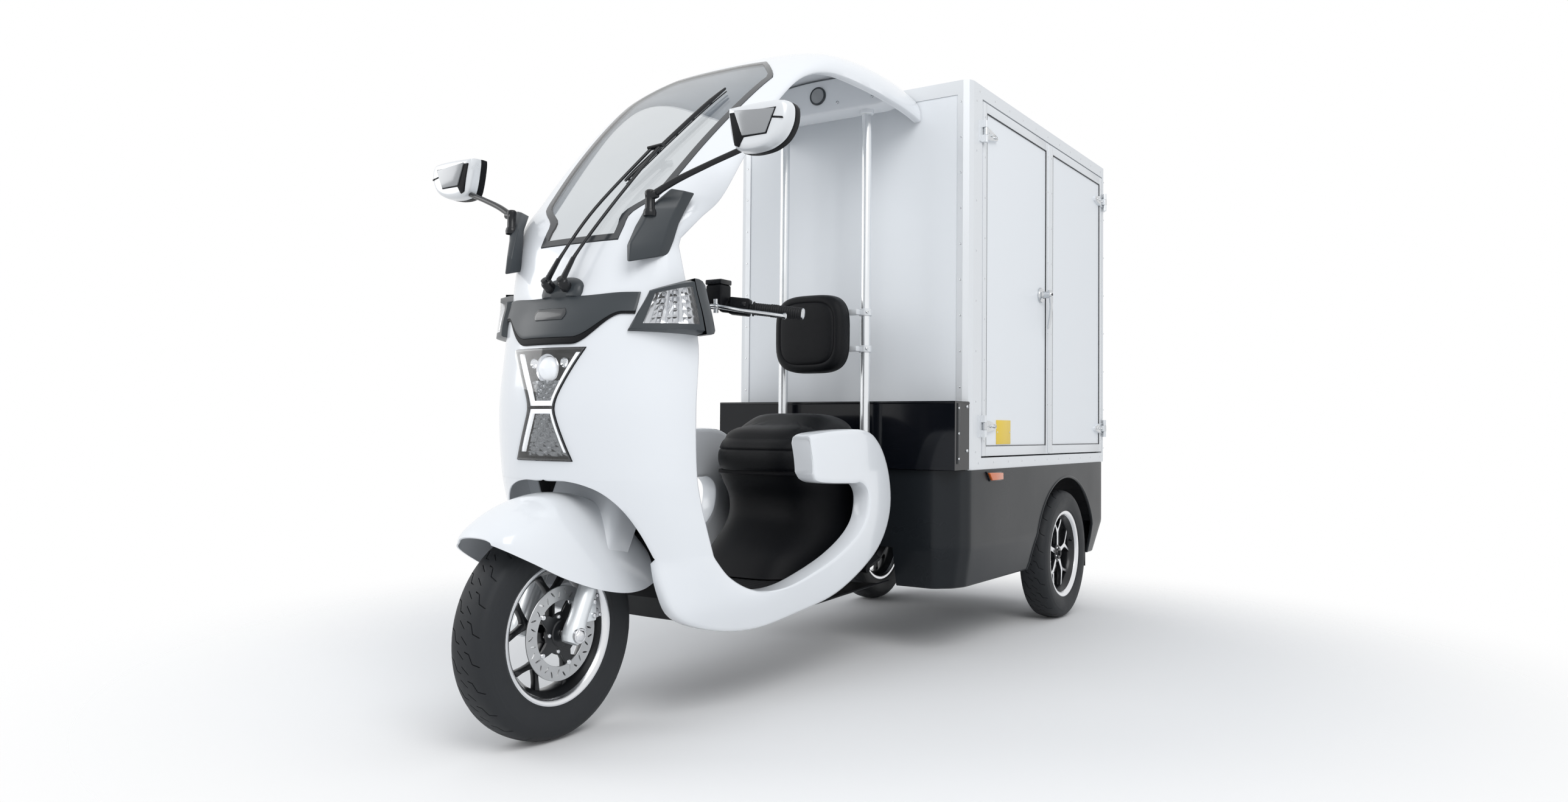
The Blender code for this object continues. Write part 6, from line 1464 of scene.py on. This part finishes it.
def doors():
    """Each door's frame, bead, rivets and hinges; the front one's strip, blank plate and handle."""
    x = BOX_HALF
    low = 0.645
    high = 1.822
    for name, front, rear, near, sign in (("front", 1.497, 2.1335, 1.493, 1),
                                          ("rear", 2.1405, 2.79, 2.794, -1)):
        form = Form()
        rim = 0.0005
        wide = 0.032
        for a, b, c, d in ((front + rim, front + wide, low + rim, high - rim),
                           (rear - wide, rear - rim, low + rim, high - rim),
                           (front + wide, rear - wide, low + rim, low + wide),
                           (front + wide, rear - wide, high - wide, high - rim)):
            form.block((x - 0.003, a, c), (x + 0.0012, b, d), bevel=0.0012)
        a, b, c, d = front + 0.0345, rear - 0.0345, low + 0.0345, high - 0.0345
        form.tube([(x - 0.001, y, z) for y, z in ((a, c), (b, c), (b, d), (a, d))], 0.0019, 2, 8,
                  closed=True)
        for z in spaced(low + 0.05, high - 0.05, 8):
            for y in (front + 0.016, rear - 0.016):
                if min(abs(z - level) for level in HINGES) > 0.034 or abs(y - near) > 0.12:
                    form.lathe([(0.0001, 0.0025), (0.0022, 0.0023), (0.0032, 0.0017), (0.0036, 0.0005)],
                               (x, y, z), X, 1, 12)
        for level in HINGES:
            hinge_strap(form, near, sign, level)
        if name == "front":
            form.block((x + 0.0008, 2.118, low + 0.004), (x + 0.0042, 2.1332, high - 0.004), bevel=0.0014)
            form.block((x - 0.0024, 1.624, 0.684), (x - 0.0004, 1.75, 0.766), 3, bevel=0.0006)
            for y in (1.632, 1.742):
                form.lathe([(0.0001, 0.0012), (0.0024, 0.001), (0.003, 0.0002)], (x - 0.0005, y, 0.725), X,
                           1, 12)
        form.make("cargo_door_%s_trim" % name, [EXTRUSION, CHROME, SOFT_RUBBER, YELLOW],
                  body="cargo_door_" + name)
    handle = Form()
    y = 2.045
    z = 1.236
    handle.lathe([(0.028, 0), (0.028, 0.004), (0.0265, 0.0075), (0.021, 0.0105), (0.014, 0.012),
                  (0.013, 0.015), (0.012, 0.03), (0.0125, 0.033), (0.0125, 0.043), (0.0105, 0.046),
                  (0.0001, 0.0465)], (x - 0.0022, y, z), X, 0, 40)
    path = ((0.036, 0.016), (0.0385, -0.01), (0.04, -0.045), (0.037, -0.085), (0.029, -0.128))
    lever = spline([(x + out, y, z + up) for out, up in path], 8)
    radii = [0.0115 - 0.004 * min(1, i / 12) for i in range(len(lever) - 3)] + [0.0063, 0.0051, 0.0039]
    handle.tube(lever, radii, 0, 20, 0.8)
    handle.lathe([(0.0001, 0.002), (0.005, 0.0018), (0.006, 0.0005)], (x + 0.044, y, z), X, 1, 20)
    handle.make("door_handle", [CHROME, SMOOTH_BLACK], body="cargo_door_front")


def tray_details():
    """The folded rim of the tray, its corner strip and its screws."""
    form = Form()
    x = BOX_HALF
    front = 1.284
    corners = ((-1, BOX_FRONT - 0.002), (-1, front + 0.003), (1, front + 0.003), (1, BOX_FRONT - 0.002))
    form.tube([(side * (x - 0.003), y, 0.8175) for side, y in corners], 0.0052)
    form.block((x - 0.0012, front + 0.015, 0.624), (x + 0.0016, front + 0.037, 0.816), 1, bevel=0.0008)
    for z in (0.64, 0.72, 0.8):
        form.bolt((x + 0.002, front + 0.026, z), X, 0.0042, 2)
    for z in (0.665, 0.806):
        for side in (1, -1):
            form.bolt((side * (x + 0.0004), 1.376, z), X * side, 0.0055, 2)
    form.make("tray_trim", [GLOSS_BLACK, SKIRT, CHROME])


# Rear skirt and lamps

SKIRT_HALF = 0.46
SKIRT_FOLD = 0.352
SKIRT_WALL = 0.0045
SKIRT_LEVELS = [0.222, 0.2225, 0.225, 0.23, 0.245, 0.27, 0.3, 0.325, 0.34, 0.347, 0.352, 0.357, 0.364, 0.38,
                0.41, 0.45, 0.49, 0.53, 0.56, 0.585, 0.5985, 0.6012, 0.6016]
ARCH_STATION = 2.335
ARCH_HALF = 0.345
ARCH_CROWN = 0.553


def skirt_inset(z):
    return 0.03 * (SKIRT_FOLD - z) / 0.13 if z < SKIRT_FOLD else 0


def skirt_path(inset):
    """From the middle of the rear round to the middle of the front, rounded at each fold."""
    half = SKIRT_HALF - inset
    front = 1.3 + inset
    rear = 2.79 - inset
    path = [Vector(p) for p in ((0, rear), (half, rear), (half, front + 0.1), (half - 0.018, front + 0.045),
                                (0.378 - inset * 0.5, front), (0, front))]
    r = 0.012
    made = []
    for i, (a, b, count) in enumerate(zip(path, path[1:], (4, 60, 4, 5, 8))):
        run = (b - a).normalized()
        last = i == len(path) - 2
        start = a + run * (r if i else 0)
        end = b - run * (0 if last else r)
        made += [start.lerp(end, t) for t in spaced(0, 1, count)]
        if not last:
            turned = b + (path[i + 2] - b).normalized() * r
            made += [end.lerp(b, k).lerp(b.lerp(turned, k), k) for k in (0.25, 0.5, 0.75)]
    return made


def skirt():
    """The painted skirt with rounded corners, rolled wheel-arch lips and a seam to the box."""
    levels = []
    inner = []
    for z in SKIRT_LEVELS:
        inset = skirt_inset(z) + (0.0008 if abs(z - SKIRT_FOLD) < 0.003 else 0)
        inset += 0.0025 if z < 0.2232 else 0.0022 if z > 0.6014 else 0
        row = [Vector((p.x, p.y, z)) for p in skirt_path(inset)]
        line = []
        for j, p in enumerate(row):
            run = (row[min(len(row) - 1, j + 1)] - row[max(0, j - 1)]).normalized()
            line.append(p + Vector((run.y, -run.x, 0)) * SKIRT_WALL)
        line[0].x = 0
        line[-1].x = 0
        levels.append(row)
        inner.append(line)
    form = Form()
    form.grid(levels)
    form.grid([row[::-1] for row in inner])
    form.grid([inner[0], levels[0]])
    form.grid([levels[-1], inner[-1]])
    form.mirror()
    body = form.make("rear_skirt", [SKIRT], weld=1e-5, angle=40)
    curve = [(ARCH_STATION + ARCH_HALF * cos(a), TYRE_RADIUS + (ARCH_CROWN - TYRE_RADIUS) * sin(a))
             for a in spaced(0, pi, 48)]
    path = [(ARCH_STATION + ARCH_HALF, 0.1)] + curve + [(ARCH_STATION - ARCH_HALF - 0.075, 0.1)]
    arches = Form()
    arches.prism(path, -0.6, -0.3)
    arches.prism(path, 0.3, 0.6)
    arches.block((-0.232, 1.25, 0.1), (0.232, 1.35, 0.35), bevel=0)
    carve(body, arches)
    lips = Form()
    foot = 0.224
    line = [(ARCH_STATION + ARCH_HALF, foot), (ARCH_STATION + ARCH_HALF, foot + 0.013)] + curve
    line.append((ARCH_STATION - ARCH_HALF - 0.075 * (TYRE_RADIUS - foot) / 0.15, foot))
    for side in (-1, 1):
        lips.tube([(side * (SKIRT_HALF - skirt_inset(z) - 0.003), y, z) for y, z in line], 0.006, sides=12)
    lips.make("wheel_arch_lips", [SKIRT], angle=50, weld=0)


def marker_lamps():
    for side, name in SIDES:
        form = Form()
        near = SKIRT_HALF + 0.0003
        form.prism([(1.522, 0.594), (1.554, 0.561), (1.654, 0.561), (1.653, 0.591)], side * near,
                   side * (near + 0.004), mark=1, bevel=0.0008)
        form.prism([(1.53, 0.5905), (1.5565, 0.5645), (1.6505, 0.5645), (1.6495, 0.588)],
                   side * (near + 0.003), side * (near + 0.0118), bevel=0.0022, segments=3)
        form.make("marker_lamp_" + name, [AMBER, SMOOTH_BLACK])


cut_front_body(front_body())
for piece in (windscreen, headlight, front_trim, pods, fender, wheels, fork, caliper, handlebar, mirrors,
              wiper, beam_and_posts, seat, cabin_floor, box_details, doors, tray_details, skirt,
              marker_lamps):
    piece()


# CAD pieces that keep their own shape, with softened edges where a width is given

for mat, width, names in (
        (EXTRUSION, 0.0012, ("box_frame",)), (PANEL, 0.001, ("door_front", "door_rear")),
        (GLOSS_BLACK, 0.0015, ("tray",)),
        (PANEL, 0.0008, ("box_front_panel", "box_rear_panel", "box_right_panel", "box_roof_panel")),
        (FRAME_BLACK, 0, ("chassis_frame",)), (FRAME_BLACK, 0.002, ("battery_pack",)),
        (FRAME_BLACK, 0.0015, ("rear_axle",)), (BLACK, 0, ("belly_pan", "inner_panel")),
        (BLACK, 0.001, ("floor_board", "wheel_liner_left", "wheel_liner_right")),
        (RED, 0.0015, ("tail_lamp_left", "tail_lamp_right"))):
    for name in names:
        nodes[name].data.materials.clear()
        nodes[name].data.materials.append(mat)
        if width:
            step = nodes[name].modifiers.new("edges", "BEVEL")
            step.width = width
            step.segments = 2
            step.limit_method = "ANGLE"
            step.angle_limit = radians(35)
            step.harden_normals = True


# Camera, light and floor

CAMERA_AT = (1.862, -3.12, 0.729)
FLOOR_HALF = 9
scene.view_settings.view_transform = "Standard"
camera = bpy.data.cameras.new("camera")
camera.lens = 24.764
camera.sensor_width = 36
camera.sensor_fit = "HORIZONTAL"
camera_obj = new_object("camera", camera)
heading, pitch, roll = [radians(angle) for angle in (33.33, 1.49, 0.527)]
ahead = Vector((-sin(heading) * cos(pitch), cos(heading) * cos(pitch), sin(pitch)))
right = ahead.cross(Z).normalized()
above = right.cross(ahead)
turn = axes(right * cos(roll) + above * sin(roll), above * cos(roll) - right * sin(roll), -ahead)
camera_obj.matrix_world = Matrix.Translation(CAMERA_AT) @ turn
scene.camera = camera_obj

scene.world = bpy.data.worlds.new("world")
scene.world.use_nodes = True
tree = scene.world.node_tree
tree.nodes.clear()
ray = tree.nodes.new("ShaderNodeLightPath").outputs
seen = add(tree, "Math", {0: ray["Is Camera Ray"], 1: ray["Is Transmission Ray"]}, operation="MAXIMUM")
seen = add(tree, "Math", {0: seen, 1: ray["Is Glossy Ray"]}, operation="MAXIMUM")
soft = add(tree, "Background", {"Color": (0.93, 0.96, 1, 1), "Strength": 0.72})
white = add(tree, "Background", {"Color": (1, 1, 1, 1), "Strength": 1})
add_output(tree, "OutputWorld", add(tree, "MixShader", {"Fac": seen, 1: soft, 2: white}))


def lamp(name, location, target, size, power):
    data = bpy.data.lights.new(name, "AREA")
    data.shape = "RECTANGLE"
    data.size = size
    data.size_y = size
    data.energy = power
    place = Vector(location)
    turn = (Vector(target) - place).to_track_quat("-Z", "Y").to_matrix().to_4x4()
    new_object(name, data).matrix_world = Matrix.Translation(place) @ turn


lamp("key_light", (3.4, -3.2, 4.2), (0.2, 0, 0.8), 3, 120)
lamp("fill_light", (-3.8, -3, 2.6), (0, -0.4, 0.9), 2.6, 50)


def floor():
    """A pale floor that fades out round the vehicle."""
    mesh = bpy.data.meshes.new("floor")
    corners = [(x * FLOOR_HALF, y * FLOOR_HALF, 0) for x, y in ((-1, -1), (1, -1), (1, 1), (-1, 1))]
    mesh.from_pydata(corners, [], [(0, 1, 2, 3)])
    mat, tree = new_material("pale_floor")
    reach = add(tree, "VectorMath", {0: add(tree, "TexCoord", out="Object")}, "Value", operation="LENGTH")
    fade = add(tree, "MapRange", {"From Min": 1.2, "From Max": 2.6, "To Min": 1, "To Max": 0,
                                  "Value": reach}, interpolation_type="SMOOTHSTEP")
    feed(tree, tree.nodes["Principled BSDF"],
         {"Base Color": (0.9, 0.9, 0.9, 1), "Roughness": 0.9, "Alpha": fade})
    mesh.materials.append(mat)
    new_object("floor", mesh)


floor()
